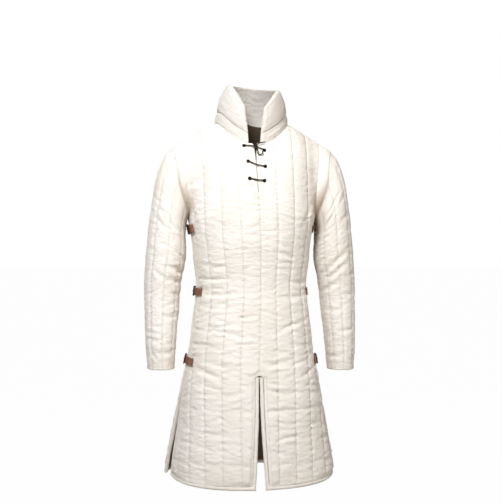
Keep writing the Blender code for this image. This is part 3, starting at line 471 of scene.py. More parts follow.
class Panel:
    """The front or the back: base surface and quilting."""

    def __init__(self, face, width_column, depth_column, neck_depth, neck_rise, is_front):
        self.face = face
        self.width_column = width_column
        self.depth_column = depth_column
        self.neck_depth = neck_depth
        self.neck_rise = neck_rise
        self.is_front = is_front
        self.cache = {}

    def section(self, level):
        key = round(level, 6)
        if key not in self.cache:
            width = table_value(BODY, level, self.width_column)
            depth = table_value(BODY, level, self.depth_column)
            angle = np.linspace(0, math.pi / 2, ARC_STEPS + 1)
            x = width * np.sin(angle) ** (2 / SQUARENESS)
            y = depth * np.maximum(np.cos(angle), 0) ** (2 / SQUARENESS)
            walked = np.concatenate([[0], np.cumsum(np.hypot(np.diff(x), np.diff(y)))])
            edge = float(np.interp(table_value(SIDE_GAP, level), y[::-1], walked[::-1]))
            self.cache[key] = (walked, x, y, edge, min(PITCH, edge / LEAST_CHANNELS))
        return self.cache[key]

    def lean(self, levels):
        return table_values(MIDDLE_LINE, levels) if self.is_front else np.zeros_like(levels)

    def lengths(self, columns, level):
        _, _, _, edge, pitch = self.section(level)
        last = edge - FULL_CHANNELS * pitch
        return np.where(
            columns <= FULL_CHANNELS,
            columns * pitch,
            FULL_CHANNELS * pitch + (columns - FULL_CHANNELS) * last,
        )

    def place(self, signed_side, length, level):
        walked, xs, ys, edge, _ = self.section(level)
        length = np.asarray(length, float)
        lean = self.lean(np.full(length.shape, level))
        signed = signed_side * length + lean * (1 - length / edge)
        x = np.interp(np.abs(signed), walked, xs)
        depth = np.interp(np.abs(signed), walked, ys)
        drop = (UNDERARM_Z - level) / (UNDERARM_Z - HEM_Z)
        z = level - HEM_DIP * drop**3 * (1 - (length / edge) ** 2)
        return np.stack([np.copysign(x, signed), self.face * depth, z], -1)

    def lower_row(self, side, columns, level, half_gap):
        _, _, _, _, pitch = self.section(level)
        length = self.lengths(columns, level)
        return self.place(side, length + half_gap * np.maximum(0, 1 - length / pitch), level)

    def upper_row(self, side, columns, share, half_gap):
        walked, xs, ys, edge, pitch = self.section(UNDERARM_Z)
        length = self.lengths(columns, UNDERARM_Z)
        length = length + half_gap * (1 - length / edge)
        neck_length = NECK_COLUMN * pitch
        x_low = np.interp(length, walked, xs)
        depth_low = np.interp(length, walked, ys)
        at_neck = columns <= NECK_COLUMN
        ratio = columns / NECK_COLUMN
        x_neck = ratio * NECK_HALF + half_gap * (1 - ratio)
        reach = (length - neck_length) / (edge - neck_length)
        x_top = np.where(at_neck, x_neck, NECK_HALF + reach * (SHOULDER_HALF - NECK_HALF))
        ridge = SHOULDER_Z + (SHOULDER_HALF - x_top) * SHOULDER_SLOPE
        ridge += self.neck_rise * np.maximum(0.0, 1 - (x_top / NECK_HALF) ** 2)
        rise = np.full_like(columns, (1 - math.cos(math.pi * share)) / 2)
        low, high = np.zeros_like(columns), np.ones_like(columns)
        for _ in range(30):
            middle = (low + high) / 2
            x = x_low + (x_top - x_low) * middle
            depth = depth_low * (1 - middle * middle) ** CHEST_CURVE
            outside = (x / NECK_HALF) ** 2 + (depth / self.neck_depth) ** 2 > 1
            low = np.where(outside, middle, low)
            high = np.where(outside, high, middle)
        rise = np.where(columns < NECK_COLUMN, rise * low, rise)
        z = UNDERARM_Z + (ridge - UNDERARM_Z) * rise
        x = x_low + (x_top - x_low) * rise
        depth = depth_low * np.maximum(1 - rise * rise, 0.0) ** CHEST_CURVE
        bulge = math.sin(math.pi * share) ** 0.85 if 0 < share < 1 else 0.0
        seam_depth = table_value(SIDE_GAP, UNDERARM_Z) * (1 - share) + ARMHOLE_HALF * bulge
        pulled = max((edge - 3 * pitch) * float(smooth(share, 0.0, 0.30)), 1e-5)
        depth += (seam_depth - depth) * smooth(length, edge - pulled, edge)
        edge_x = table_value(ARMHOLE, float(z[-1]))
        x += (edge_x - x[-1]) * np.clip((columns - 4.7) / 0.3, 0, 1) ** 1.4
        depth = np.maximum(depth, SEAM_GAP / 2)
        low_share = (1 - rise) * (1 - length / edge)
        lean = self.lean(z) * (low_share + rise * np.maximum(0.0, 1 - ratio))
        return np.stack([side * x + lean, self.face * depth, z], -1)

    def quilting(self, columns, level):
        """Height share of the quilting and the distance to the nearest seam line, at one level."""
        _, _, _, edge, pitch = self.section(level)
        last = edge - FULL_CHANNELS * pitch
        two = float(smooth(last, NARROW_CHANNEL, WIDE_CHANNEL))
        part = columns % 1.0
        pillow = 1 - np.abs(2 * part - 1) ** PILLOW
        line = np.minimum(part, 1 - part) * pitch
        share = np.clip(columns - FULL_CHANNELS, 0, 1)
        double = 1 - np.abs(2 * ((2 * share) % 1.0) - 1) ** PILLOW
        double = np.where(share >= 1, 0.0, double)
        single = 1 - np.abs(2 * share - 1) ** PILLOW
        scale = min(1.0, last / 0.035)
        to_line = np.minimum(share, 1 - share)
        if two > 0.5:
            to_line = np.minimum(to_line, np.abs(share - 0.5))
        at_last = columns >= FULL_CHANNELS
        pillow = np.where(at_last, scale * ((1 - two) * single + two * double), pillow)
        line = np.where(at_last, to_line * last, line)
        return pillow, line


FRONT = Panel(-1, 1, 3, 0.098, -0.020, True)
BACK = Panel(1, 2, 4, 0.080, 0.032, False)


def half_gap_at(panel, level, share):
    if not panel.is_front:
        return None
    if share is None:
        if level >= SKIRT_SLIT_TOP:
            return None
        full = table_value(SKIRT_SLIT, level) + 2 * ROLL_RADIUS + SEAM_GAP
        return full * float(smooth(SKIRT_SLIT_TOP - level, -0.002, 0.003))
    if share <= LACING_SLIT_SHARE:
        return None
    return table_value(LACING_SLIT, share)


def fine_columns():
    marks = [channel + mark for channel in range(FULL_CHANNELS) for mark in CHANNEL_MARKS]
    marks += [FULL_CHANNELS + step / LAST_STEPS for step in range(LAST_STEPS + 1)]
    return np.array(marks, float)


def fine_rows():
    count = round((UNDERARM_Z - LOWEST_ROW) / ROW_STEP)
    rows = [(LOWEST_ROW + (UNDERARM_Z - LOWEST_ROW) * step / count, None) for step in range(count)]
    rows += [(UNDERARM_Z, step / UPPER_ROWS) for step in range(UPPER_ROWS + 1)]
    return rows


def seam_directions(panel, side, columns, points):
    """Direction of the wall's end face along the neck and the shoulder, and along the armhole."""
    centre_x, centre_z = ARMHOLE_CENTRE
    arm = unit(np.stack([side * centre_x - points[..., 0], -points[..., 1], centre_z - points[..., 2]], -1))
    flat = unit(np.stack([
        -points[..., 0] / NECK_HALF**2, -points[..., 1] / panel.neck_depth**2, np.zeros_like(points[..., 0])
    ], -1))
    neck = unit(flat + np.array([0, 0, -SEAM_INWARD]))
    shoulder = unit(np.stack([-side * 0.5 + 0 * columns, 0 * columns, -0.86 + 0 * columns], -1))
    along = smooth(columns, NECK_COLUMN, NECK_COLUMN + 0.4)[..., None]
    return unit(neck * (1 - along) + shoulder * along), arm


FRONT_CREASES = [
    # armpits: x and z of start, bend and end, then depth and width
    (-0.170, -0.130, -0.158, -0.200, -0.146, -0.285, 0.0042, 0.0070),
    (-0.150, -0.175, -0.140, -0.215, -0.133, -0.262, 0.0022, 0.0060),
    (-0.172, -0.160, -0.150, -0.150, -0.118, -0.128, 0.0022, 0.0065),
    (0.168, -0.150, 0.158, -0.205, 0.147, -0.270, 0.0036, 0.0070),
    (0.150, -0.190, 0.132, -0.222, 0.118, -0.262, 0.0020, 0.0060),
    (0.172, -0.135, 0.150, -0.120, 0.118, -0.112, 0.0020, 0.0060),
    # chest and waist
    (0.045, -0.326, 0.082, -0.330, 0.104, -0.352, 0.0024, 0.0050),
    (0.060, -0.352, 0.090, -0.349, 0.120, -0.366, 0.0018, 0.0045),
    (-0.135, -0.352, -0.105, -0.366, -0.078, -0.362, 0.0020, 0.0050),
    (-0.140, -0.392, -0.112, -0.398, -0.070, -0.388, 0.0024, 0.0055),
    (0.072, -0.398, 0.110, -0.406, 0.138, -0.396, 0.0024, 0.0055),
    (-0.138, -0.424, -0.100, -0.436, -0.052, -0.430, 0.0026, 0.0060),
    (0.058, -0.440, 0.098, -0.444, 0.137, -0.428, 0.0026, 0.0060),
    (-0.138, -0.458, -0.112, -0.470, -0.080, -0.466, 0.0018, 0.0050),
    # hips
    (-0.126, -0.512, -0.080, -0.530, 0.008, -0.541, 0.0026, 0.0058),
    (0.050, -0.526, 0.078, -0.509, 0.130, -0.497, 0.0028, 0.0055),
    (-0.146, -0.560, -0.110, -0.566, -0.060, -0.556, 0.0022, 0.0055),
    (0.082, -0.556, 0.112, -0.566, 0.150, -0.560, 0.0022, 0.0055),
    (-0.124, -0.600, -0.098, -0.604, -0.074, -0.615, 0.0026, 0.0055),
    (0.008, -0.617, 0.046, -0.602, 0.100, -0.592, 0.0026, 0.0055),
    (-0.152, -0.612, -0.126, -0.632, -0.090, -0.640, 0.0024, 0.0060),
    (0.100, -0.640, 0.130, -0.632, 0.155, -0.612, 0.0024, 0.0060),
    # skirt
    (-0.140, -0.676, -0.100, -0.684, -0.055, -0.676, 0.0018, 0.0050),
    (0.030, -0.672, 0.070, -0.684, 0.120, -0.676, 0.0018, 0.0050),
    (-0.150, -0.770, -0.110, -0.782, -0.062, -0.776, 0.0018, 0.0055),
    (0.040, -0.786, 0.082, -0.778, 0.130, -0.790, 0.0018, 0.0055),
]
BACK_CREASES = [
    (-0.168, -0.150, -0.156, -0.205, -0.148, -0.280, 0.0038, 0.0070),
    (0.168, -0.150, 0.157, -0.210, 0.146, -0.276, 0.0036, 0.0070),
    (-0.172, -0.130, -0.146, -0.122, -0.110, -0.104, 0.0022, 0.0065),
    (0.172, -0.128, 0.148, -0.114, 0.106, -0.108, 0.0022, 0.0065),
    (-0.060, -0.020, -0.010, -0.030, 0.050, -0.022, 0.0020, 0.0065),
    (-0.130, -0.340, -0.085, -0.352, -0.030, -0.344, 0.0024, 0.0060),
    (0.020, -0.362, 0.070, -0.372, 0.128, -0.356, 0.0026, 0.0060),
    (-0.138, -0.394, -0.090, -0.410, -0.024, -0.404, 0.0030, 0.0065),
    (0.000, -0.420, 0.060, -0.432, 0.136, -0.416, 0.0030, 0.0065),
    (-0.136, -0.446, -0.080, -0.458, -0.020, -0.450, 0.0026, 0.0060),
    (0.040, -0.470, 0.090, -0.476, 0.138, -0.462, 0.0022, 0.0060),
    (-0.142, -0.506, -0.096, -0.516, -0.040, -0.510, 0.0022, 0.0055),
    (-0.150, -0.590, -0.110, -0.606, -0.060, -0.600, 0.0022, 0.0060),
    (0.060, -0.580, 0.110, -0.594, 0.152, -0.584, 0.0022, 0.0060),
    (-0.120, -0.676, -0.060, -0.688, 0.000, -0.680, 0.0018, 0.0055),
    (0.020, -0.790, 0.080, -0.798, 0.150, -0.786, 0.0018, 0.0055),
]


def panel_points(panel):
    """The base surface row by row, its cloth coordinates, and which rows are open in the middle."""
    columns = fine_columns()
    rows = fine_rows()
    count = len(columns)
    found = {"base": [], "across": [], "pillow": [], "line": []}
    opens = []
    for level, share in rows:
        gap = half_gap_at(panel, level, share)
        opens.append(gap is not None)
        if share is None:
            halves = [panel.lower_row(side, columns, level, gap or 0.0) for side in (-1, 1)]
        else:
            halves = [panel.upper_row(side, columns, share, gap or 0.0) for side in (-1, 1)]
        length = panel.lengths(columns, level)
        height, distance = panel.quilting(columns, level)
        found["base"].append(np.concatenate([halves[0][::-1], halves[1]]))
        found["across"].append(np.concatenate([-length[::-1], length]))
        found["pillow"].append(np.concatenate([height[::-1], height]))
        found["line"].append(np.concatenate([distance[::-1], distance]))
    grid = {key: np.array(values) for key, values in found.items()}
    flat = 0 * grid["across"]
    grid.update({
        "columns": columns, "count": count, "rows": rows, "opens": np.array(opens), "face": panel.face,
        "underarm": next(row for row, (_, share) in enumerate(rows) if share is not None),
        "all_columns": np.concatenate([columns[::-1], columns])[None, :] + flat,
        "sides": np.concatenate([-np.ones(count), np.ones(count)])[None, :] + flat,
    })
    return grid


def panel_normals(grid):
    base, count = grid["base"], grid["count"]
    du = np.concatenate([np.gradient(base[:, :count], axis=1), np.gradient(base[:, count:], axis=1)], axis=1)
    dv = np.gradient(base, axis=0)
    normals = unit(np.cross(du, dv) * -grid["face"])
    whole = ~grid["opens"]
    shared = unit(normals[whole, count - 1] + normals[whole, count])
    normals[whole, count - 1] = shared
    normals[whole, count] = shared
    return normals


def panel_distances(grid):
    """Adds how far each point is along the cloth from the hem, the side, the armhole and the seams."""
    base = grid["base"]
    steps = np.linalg.norm(np.diff(base, axis=0), axis=2)
    run = np.concatenate([np.zeros((1, base.shape[1])), np.cumsum(steps, axis=0)])
    width_steps = np.linalg.norm(np.diff(base, axis=1), axis=2)
    walked = np.concatenate([np.zeros((len(base), 1)), np.cumsum(width_steps, axis=1)], axis=1)
    to_side = np.minimum(walked, walked[:, -1:] - walked)
    below = np.maximum(run[grid["underarm"]][None, :] - run, 0)
    to_arm = np.hypot(to_side, below)
    to_top = run[-1][None, :] - run
    grid.update({
        "run": run, "walked": walked, "to_side": to_side, "to_arm": to_arm, "to_top": to_top,
        "to_seam": np.minimum(to_top, to_arm),
    })


def panel_puff(grid, is_front, seed):
    """Fullness of the quilted channels, flat at the seams, the cross seams and the lacing."""
    across, along = grid["across"], grid["base"][..., 2]
    lift = SHOWN_PUFF * grid["pillow"] * smooth(grid["to_seam"], 0.0, SEAM_FADE)
    lift *= 1 + 0.16 * noise(across / 0.05, along / 0.06, seed)
    for level in CROSS_SEAMS:
        lift *= 1 - 0.86 * bell(along - level - 0.004, 0.0055)
    if is_front:
        near_lace = smooth(-np.abs(grid["all_columns"]), -1.15, -0.75) * smooth(along, -0.190, -0.165)
        lift *= 1 - 0.72 * near_lace
    return lift


def panel_creases(grid, is_front, seed):
    """Puckers, drag lines, listed creases, and the slow waves of the cloth."""
    base, across, to_side = grid["base"], grid["across"], grid["to_side"]
    along = base[..., 2]
    lift = pucker_field(grid["all_columns"], grid["sides"], along, seed)
    lines = []
    for number, added, low, high, reach, tilt in PANEL_DRAGS:
        lines += drag_lines(number, seed + added, low, high, reach, tilt)
    skirt = smooth(-along, 0.30, 0.62)
    fade = smooth(grid["to_seam"], 0.0, 0.010) * (0.45 + 0.55 * smooth(to_side, 0.0, 0.030))
    lift += crease_field(base[..., 0], along, FRONT_CREASES if is_front else BACK_CREASES) * fade
    lift += crease_field(base[..., 0], along, lines) * fade * (0.62 + 0.38 * skirt)
    lift += 0.0007 * noise(across / 0.034, along / 0.020, seed + 4) * (0.6 + skirt) * fade
    lift += 0.0016 * noise(across / 0.11, along / 0.16, seed + 5) * fade
    sway = np.sin(across / 0.041 + 0.6 + 1.7 * is_front)
    lift += 0.0026 * sway * smooth(-along, 0.66, 0.90) * smooth(to_side, 0, 0.03)
    return lift


def panel_painted_shade(grid):
    """Painted shade round the armpit and along the armhole's seam."""
    along, to_arm = grid["base"][..., 2], grid["to_arm"]
    soil_and_painted_shade = (1 - smooth(to_arm, 0.0, 0.034)) * bell(along - UNDERARM_Z - 0.030, 0.055)
    return np.maximum(soil_and_painted_shade, bell(to_arm, SEAM_SHADE_WIDTH) * smooth(-along, 0.08, 0.17))


def panel_surface(panel):
    """Outer and inner points of a panel, with all that its other pieces need."""
    grid = panel_points(panel)
    panel_distances(grid)
    normals = panel_normals(grid)
    base, count, walked, to_seam = grid["base"], grid["count"], grid["walked"], grid["to_seam"]
    seed = FRONT_SEED if panel.is_front else BACK_SEED
    lift = panel_puff(grid, panel.is_front, seed) + panel_creases(grid, panel.is_front, seed)
    lift = lift * smooth(grid["run"], 0.0, 0.010) + 0.0002
    from_left = np.abs(walked - walked[:, count - 1:count])
    open_edge = np.minimum(from_left, np.abs(walked - walked[:, count:count + 1]))
    lift = lift * np.where(grid["opens"][:, None], smooth(open_edge, 0.0, 0.009), 1.0)
    lift = np.where(to_seam < 1e-6, 0.0, lift)

    neck, arm = seam_directions(panel, grid["sides"], grid["all_columns"], base)
    inward = np.where((grid["to_arm"] < grid["to_top"])[..., None], arm, neck)
    turn = (1 - smooth(to_seam, 0.0, 0.016))[..., None]
    direction = unit(-normals * (1 - turn) + inward * turn)
    line = np.minimum(grid["line"], grid["to_arm"] + SEAM_LINE)
    grid.update({
        "outer": base + normals * lift[..., None], "inner": base + direction * WALL, "normals": normals,
        "cloth": np.stack([grid["across"], base[..., 2], line], -1), "soil_and_painted_shade": panel_painted_shade(grid),
    })
    return grid


def next_pucker(rng, kind):
    """Step to the next pucker, then its depth, reach, width and slope."""
    steps, depths, reaches, slope = kind
    step = rng.uniform(*steps)
    depth = rng.uniform(*depths)
    reach = rng.uniform(*reaches)
    width = rng.uniform(*PUCKER_WIDTH)
    return step, depth, reach, width, rng.normal(0, slope)


def pucker_field(columns, sides, along, seed):
    """Small folds that cross the quilting lines, pulled in by the stitches."""
    rng = np.random.RandomState(seed + 40)
    height = np.zeros_like(along)
    for side in (-1, 1):
        for column in (0, 1, 2, 3, 4, SKIRT_COLUMN):
            z = LOWEST_ROW
            top = NECK_TOP if column <= NECK_COLUMN else ARM_TOP
            if column == SKIRT_COLUMN:
                top = SKIRT_TOP
            while z < top:
                step, depth, reach, width, slope = next_pucker(rng, PANEL_PUCKER)
                z += step
                depth *= 0.45 + 0.75 * float(smooth(-z, 0.25, 0.60))
                shift = rng.uniform(-PUCKER_SHIFT, PUCKER_SHIFT)
                near = (sides == side) & (np.abs(along - z) < PUCKER_TALL) & (np.abs(columns - column) < 0.5)
                if not near.any():
                    continue
                aside = (columns[near] - column) * PITCH
                offset = along[near] - z - slope * aside - shift * np.sign(aside)
                height[near] -= depth * fold_shape(offset, width) * np.exp(-np.abs(aside) / reach)
    return height


def panel_object(name, grid):
    outer, inner, opens, count = grid["outer"], grid["inner"], grid["opens"], grid["count"]
    rows, width = outer.shape[:2]
    index = np.arange(rows * width).reshape(rows, width) * 2
    index[~opens, count] = index[~opens, count - 1]
    points = np.stack([outer, inner], 2).reshape(-1, 3)
    cloth = np.stack([grid["cloth"], grid["cloth"]], 2).reshape(-1, 3)
    flip = -1 if grid["face"] > 0 else 1
    halves = (slice(0, count), slice(count, width))
    faces = []
    for half in halves:
        faces += quads(index[:, half], (0, 1, 2, 3)[::flip])
    outer_count = len(faces)
    for half in halves:
        faces += quads(index[:, half] + 1, (0, 3, 2, 1)[::flip])
    inner_count = len(faces)
    for place, turn in ((0, 1), (width - 1, -1)):
        faces += end_faces(index[:-1, place], index[1:, place], -turn * flip)
    for row in range(rows - 1):
        if opens[row] or opens[row + 1]:
            for place, turn in ((count - 1, -1), (count, 1)):
                faces += end_faces(index[row:row + 1, place], index[row + 1:row + 2, place], -turn * flip)
    for row, turn in ((0, -1), (rows - 1, 1)):
        for half in halves:
            faces += end_faces(index[row, half][:-1], index[row, half][1:], -turn * flip)
    used = np.unique(faces)
    renumber = np.full(len(points), -1)
    renumber[used] = np.arange(len(used))
    faces = renumber[np.array(faces, dtype=int)].tolist()
    item = make_object(name, points[used].tolist(), faces)
    set_cloth(item, cloth[used])
    set_painted_shade(item, np.repeat(grid["soil_and_painted_shade"].ravel(), 2)[used])
    return item, np.arange(outer_count, inner_count)


def curve_through(marks, rings, at):
    """Smooth values at marks between rings of points."""
    result = []
    for value in at:
        index = int(np.clip(np.searchsorted(marks, value) - 1, 0, len(marks) - 2))
        low, high = rings[index], rings[index + 1]
        before, after = rings[max(index - 1, 0)], rings[min(index + 2, len(marks) - 1)]
        span = marks[index + 1] - marks[index]
        t = (value - marks[index]) / span
        slope_low = (high - before) / (marks[index + 1] - marks[max(index - 1, 0)]) * span
        slope_high = (after - low) / (marks[min(index + 2, len(marks) - 1)] - marks[index]) * span
        bend = t * (1 - t)
        ease = (high - low) * t * t * (3 - 2 * t)
        result.append(low + ease + bend * (slope_low * (1 - t) - slope_high * t))
    return np.array(result)


def armhole_ring(front, back, layer, side, turns):
    """Points of the armhole seam at each turn from 0 to 16, from the underarm round by the front."""
    place = -1 if side > 0 else 0
    lines = []
    for grid in (front, back):
        edge = grid[layer][grid["underarm"]:, place]
        shares = np.linspace(0, 1, len(edge))
        eighth = at_distance(edge, shares, 0.125)
        start = abs(edge[0][1] / eighth[1])
        marks = np.where(shares < 0.125, start + (1 - start) * shares * 8, shares * 8)
        lines.append((marks, edge, eighth, start))
    marks, edge, eighth, start = lines[0]
    underarm = (edge[0] - eighth * start) / (1 - start)
    underarm[1] = 0
    top = (lines[0][1][-1] + lines[1][1][-1]) / 2
    ring = []
    for turn in turns:
        marks, edge, _, _ = lines[0] if turn <= 8 else lines[1]
        at = turn if turn <= 8 else 16 - turn
        known = np.concatenate([[0], marks[:-1], [8]])
        points = np.concatenate([[underarm], edge[:-1], [top]])
        ring.append(at_distance(points, known, at))
    return np.array(ring) + np.array([side * SLEEVE_SHIFT, 0, 0])


# Creases of a sleeve: turn and run of start, bend and end (turn 0 inner, 4 front, 8 outer, 12 back; run in
# metres below the shoulder), then depth and width
LEFT_SLEEVE_CREASES = [
    (0.6, 0.235, 2.0, 0.230, 3.8, 0.218, 0.0040, 0.0065),
    (0.2, 0.262, 1.6, 0.262, 3.2, 0.252, 0.0034, 0.0060),
    (-0.6, 0.292, 0.9, 0.296, 2.6, 0.290, 0.0030, 0.0060),
    (0.4, 0.205, 1.6, 0.192, 3.0, 0.170, 0.0026, 0.0060),
    (3.4, 0.255, 4.6, 0.246, 5.8, 0.224, 0.0018, 0.0055),
    (4.2, 0.130, 5.6, 0.118, 7.2, 0.120, 0.0018, 0.0060),
    (1.0, 0.120, 2.4, 0.104, 3.8, 0.072, 0.0028, 0.0060),
    (0.8, 0.345, 2.2, 0.352, 4.0, 0.346, 0.0020, 0.0055),
    (3.6, 0.402, 5.0, 0.410, 6.6, 0.404, 0.0018, 0.0055),
    (1.0, 0.430, 2.4, 0.440, 4.2, 0.436, 0.0020, 0.0055),
    (3.4, 0.480, 4.8, 0.486, 6.2, 0.478, 0.0016, 0.0050),
    (10.0, 0.230, 11.6, 0.240, 13.4, 0.236, 0.0028, 0.0060),
    (9.6, 0.270, 11.4, 0.278, 13.6, 0.270, 0.0026, 0.0060),
    (10.6, 0.130, 12.0, 0.118, 13.8, 0.120, 0.0022, 0.0060),
    (10.0, 0.420, 11.4, 0.430, 13.0, 0.424, 0.0018, 0.0055),
]
RIGHT_SLEEVE_CREASES = [
    (1.6, 0.238, 3.2, 0.212, 5.4, 0.182, 0.0034, 0.0062),
    (1.2, 0.262, 3.0, 0.240, 5.0, 0.212, 0.0030, 0.0058),
    (0.4, 0.285, 2.0, 0.280, 3.8, 0.258, 0.0030, 0.0060),
    (0.2, 0.222, 1.4, 0.206, 2.8, 0.178, 0.0026, 0.0060),
    (4.6, 0.252, 5.8, 0.240, 7.0, 0.236, 0.0018, 0.0055),
    (4.4, 0.118, 5.6, 0.108, 7.0, 0.112, 0.0018, 0.0060),
    (1.2, 0.112, 2.6, 0.094, 4.0, 0.066, 0.0028, 0.0060),
    (0.8, 0.330, 2.4, 0.340, 4.4, 0.332, 0.0022, 0.0055),
    (2.4, 0.386, 4.0, 0.392, 5.8, 0.384, 0.0018, 0.0055),
    (0.6, 0.452, 2.2, 0.458, 4.0, 0.450, 0.0020, 0.0055),
    (3.2, 0.500, 4.6, 0.506, 6.0, 0.498, 0.0016, 0.0050),
    (10.2, 0.240, 11.8, 0.250, 13.6, 0.244, 0.0028, 0.0060),
    (9.8, 0.282, 11.6, 0.290, 13.8, 0.282, 0.0024, 0.0060),
    (10.4, 0.122, 12.2, 0.112, 14.0, 0.116, 0.0022, 0.0060),
    (10.2, 0.436, 11.6, 0.444, 13.2, 0.440, 0.0018, 0.0055),
]


def sleeve_rings(side, front, back, turns):
    """The armhole's ring and the sleeve's own, from the shoulder to the cuff."""
    rings = [armhole_ring(front, back, "outer", side, turns)]
    for number, (outer_x, outer_z, inner_x, inner_z, half_depth, middle_y, _) in enumerate(SLEEVE):
        rise = LEFT_CUFF_RISE * (number / (len(SLEEVE) - 1)) ** 2 if side < 0 else 0.0
        outer_end = np.array([side * outer_x, middle_y, outer_z + rise])
        inner_end = np.array([side * inner_x, middle_y, inner_z + rise])
        middle = (outer_end + inner_end) / 2
        angle = 2 * np.pi * turns / TURNS
        ring = middle - (outer_end - inner_end) * (np.cos(angle) / 2)[:, None]
        ring[:, 1] = middle_y - half_depth * np.sign(np.sin(angle)) * np.abs(np.sin(angle)) ** 0.9
        rings.append(ring)
    return np.array(rings)


def sleeve_puckers(turn_grid, run, per_turn, end, seed):
    rng = np.random.RandomState(seed)
    height = np.zeros_like(run)
    for channel in range(SLEEVE_CHANNELS):
        place = 0.01
        while place < end - 0.02:
            step, depth, reach, width, slope = next_pucker(rng, SLEEVE_PUCKER)
            place += step
            aside = ((turn_grid / 2 - channel + 4) % SLEEVE_CHANNELS - 4) * 2 * per_turn
            near = (np.abs(run - place) < PUCKER_TALL) & (np.abs(aside) < PUCKER_WIDE)
            offset = run[near] - place - slope * aside[near]
            height[near] -= depth * fold_shape(offset, width) * np.exp(-np.abs(aside[near]) / reach)
    return height


def sleeve_creases(side, turn_grid, run, mean_turn, end, seed):
    """Listed creases and short drag lines, on all sides of the tube."""
    creases = LEFT_SLEEVE_CREASES if side < 0 else RIGHT_SLEEVE_CREASES
    placed = [
        (a * mean_turn, b, c * mean_turn, d, e * mean_turn, f, depth, width)
        for a, b, c, d, e, f, depth, width in creases
    ]
    span = TURNS * mean_turn
    fine = drag_lines(70, seed + 5, (0, 0.05), (span, end - 0.03), (0.016, 0.045), 0.3)
    calm = 0.95 - 0.35 * np.cos(4 * np.pi * turn_grid / TURNS)
    fade = smooth(run, 0.0, 0.02) * smooth(end - run, 0.006, 0.03)
    height = np.zeros_like(run)
    for shift in (-span, 0, span):
        height += crease_field(turn_grid * mean_turn + shift, run, placed + fine) * fade * calm
    fade = smooth(run, 0.0, 0.012) * smooth(end - run, 0.0, 0.02)
    height += 0.0007 * noise(turn_grid / 1.5, run / 0.022, seed + 6) * fade
    for level, depth in CUFF_SEAMS:
        height -= depth * bell(end - run - level, 0.0018)
    return height + 0.0010 * smooth(end - run, 0.016, 0.010)


def sleeve_surface(side, front, back):
    """Outer and inner points of a sleeve: turn 0 is inner, 4 front, 8 outer and 12 back."""
    turns = np.array([2 * channel + 2 * mark for channel in range(SLEEVE_CHANNELS) for mark in CHANNEL_MARKS])
    rings = sleeve_rings(side, front, back, turns)
    spans = np.linalg.norm(np.diff(rings, axis=0), axis=2).mean(1)
    knots = np.concatenate([[0], np.cumsum(spans)])
    end = knots[-1]
    at = np.linspace(0, end, round(end / SLEEVE_STEP) + 1)
    at = np.unique(np.concatenate([at, [end - 0.0005, end - 0.0012, end - 0.0022]]))
    base = curve_through(knots, rings, at)
    puff_share = np.interp(at, knots, np.concatenate([[0.0], SLEEVE[:, 6]]))
    wide = np.concatenate([base[:, -2:], base, base[:, :2]], axis=1)
    du = np.gradient(wide, axis=1)[:, 2:-2]
    dv = np.gradient(base, at, axis=0)
    normals = unit(np.cross(dv, du)) * side
    middle = base.mean(axis=1, keepdims=True)
    if (normals * (base - middle)).sum() < 0:
        normals = -normals
    girth = np.linalg.norm(np.diff(wide[:, 2:-1], axis=1), axis=2).sum(axis=1)
    mean_turn = float(girth.mean() / TURNS)
    per_turn = (girth / TURNS)[:, None]
    turn_grid = turns[None, :] + 0 * base[..., 0]
    run = at[:, None] + 0 * turn_grid

    part = (turn_grid / 2) % 1.0
    line = np.minimum(part, 1 - part) * 2 * per_turn
    seed = LEFT_SEED if side < 0 else RIGHT_SEED
    pillow = 1 - np.abs(2 * part - 1) ** PILLOW
    lift = SHOWN_PUFF * pillow * puff_share[:, None] * smooth(run, 0.0, SEAM_FADE)
    lift *= 1 + 0.15 * noise(turn_grid / 2, run / 0.05, seed)
    lift += sleeve_puckers(turn_grid, run, per_turn, end, seed + 3)
    lift += sleeve_creases(side, turn_grid, run, mean_turn, end, seed)
    edge = np.clip((CUFF_ROUND - (end - run)) / CUFF_ROUND, 0, 1)
    rounding = CUFF_ROUND * (1 - np.sqrt(1 - edge**2))
    outer = base + normals * (lift - rounding)[..., None]
    inner = base - normals * (WALL - rounding)[..., None]
    inner_ring = armhole_ring(front, back, "inner", side, turns)
    near = (1 - smooth(run, 0.0, 0.016))[..., None]
    inner = inner * (1 - near) + (base + (inner_ring - rings[0])[None]) * near
    outer[0] = rings[0]
    from_inner = np.minimum(turn_grid, TURNS - turn_grid) * mean_turn
    # Painted shade down the sleeve's inner side, which faces the body, strongest near the armpit, and along
    # the armhole seam
    soil_and_painted_shade = bell(from_inner, 0.046) * (1 - 0.65 * smooth(run, 0.020, 0.150))
    soil_and_painted_shade = np.maximum(soil_and_painted_shade, bell(run, SEAM_SHADE_WIDTH) * (1 - smooth(from_inner, 0.035, 0.110)))
    return {
        "outer": outer, "inner": inner, "normals": normals, "end": end, "soil_and_painted_shade": soil_and_painted_shade,
        "cloth": np.stack([turn_grid * per_turn, run, np.minimum(line, run + SEAM_LINE)], -1),
    }


def wall_object(name, outer, inner, cloth, closed):
    rows, width = outer.shape[:2]
    index = np.arange(rows * width).reshape(rows, width) * 2
    if closed:
        index = wrapped(index)
    points = np.stack([outer, inner], 2).reshape(-1, 3)
    faces = quads(index) + quads(index + 1, (0, 3, 2, 1))
    for row, turn in ((0, -1), (rows - 1, 1)):
        faces += end_faces(index[row, :-1], index[row, 1:], turn)
    if not closed:
        for place, turn in ((0, 1), (width - 1, -1)):
            faces += end_faces(index[:-1, place], index[1:, place], turn)
    item = make_object(name, points.tolist(), faces)
    face_outward(item.data)
    set_cloth(item, np.stack([cloth, cloth], 2).reshape(-1, 3))
    return item


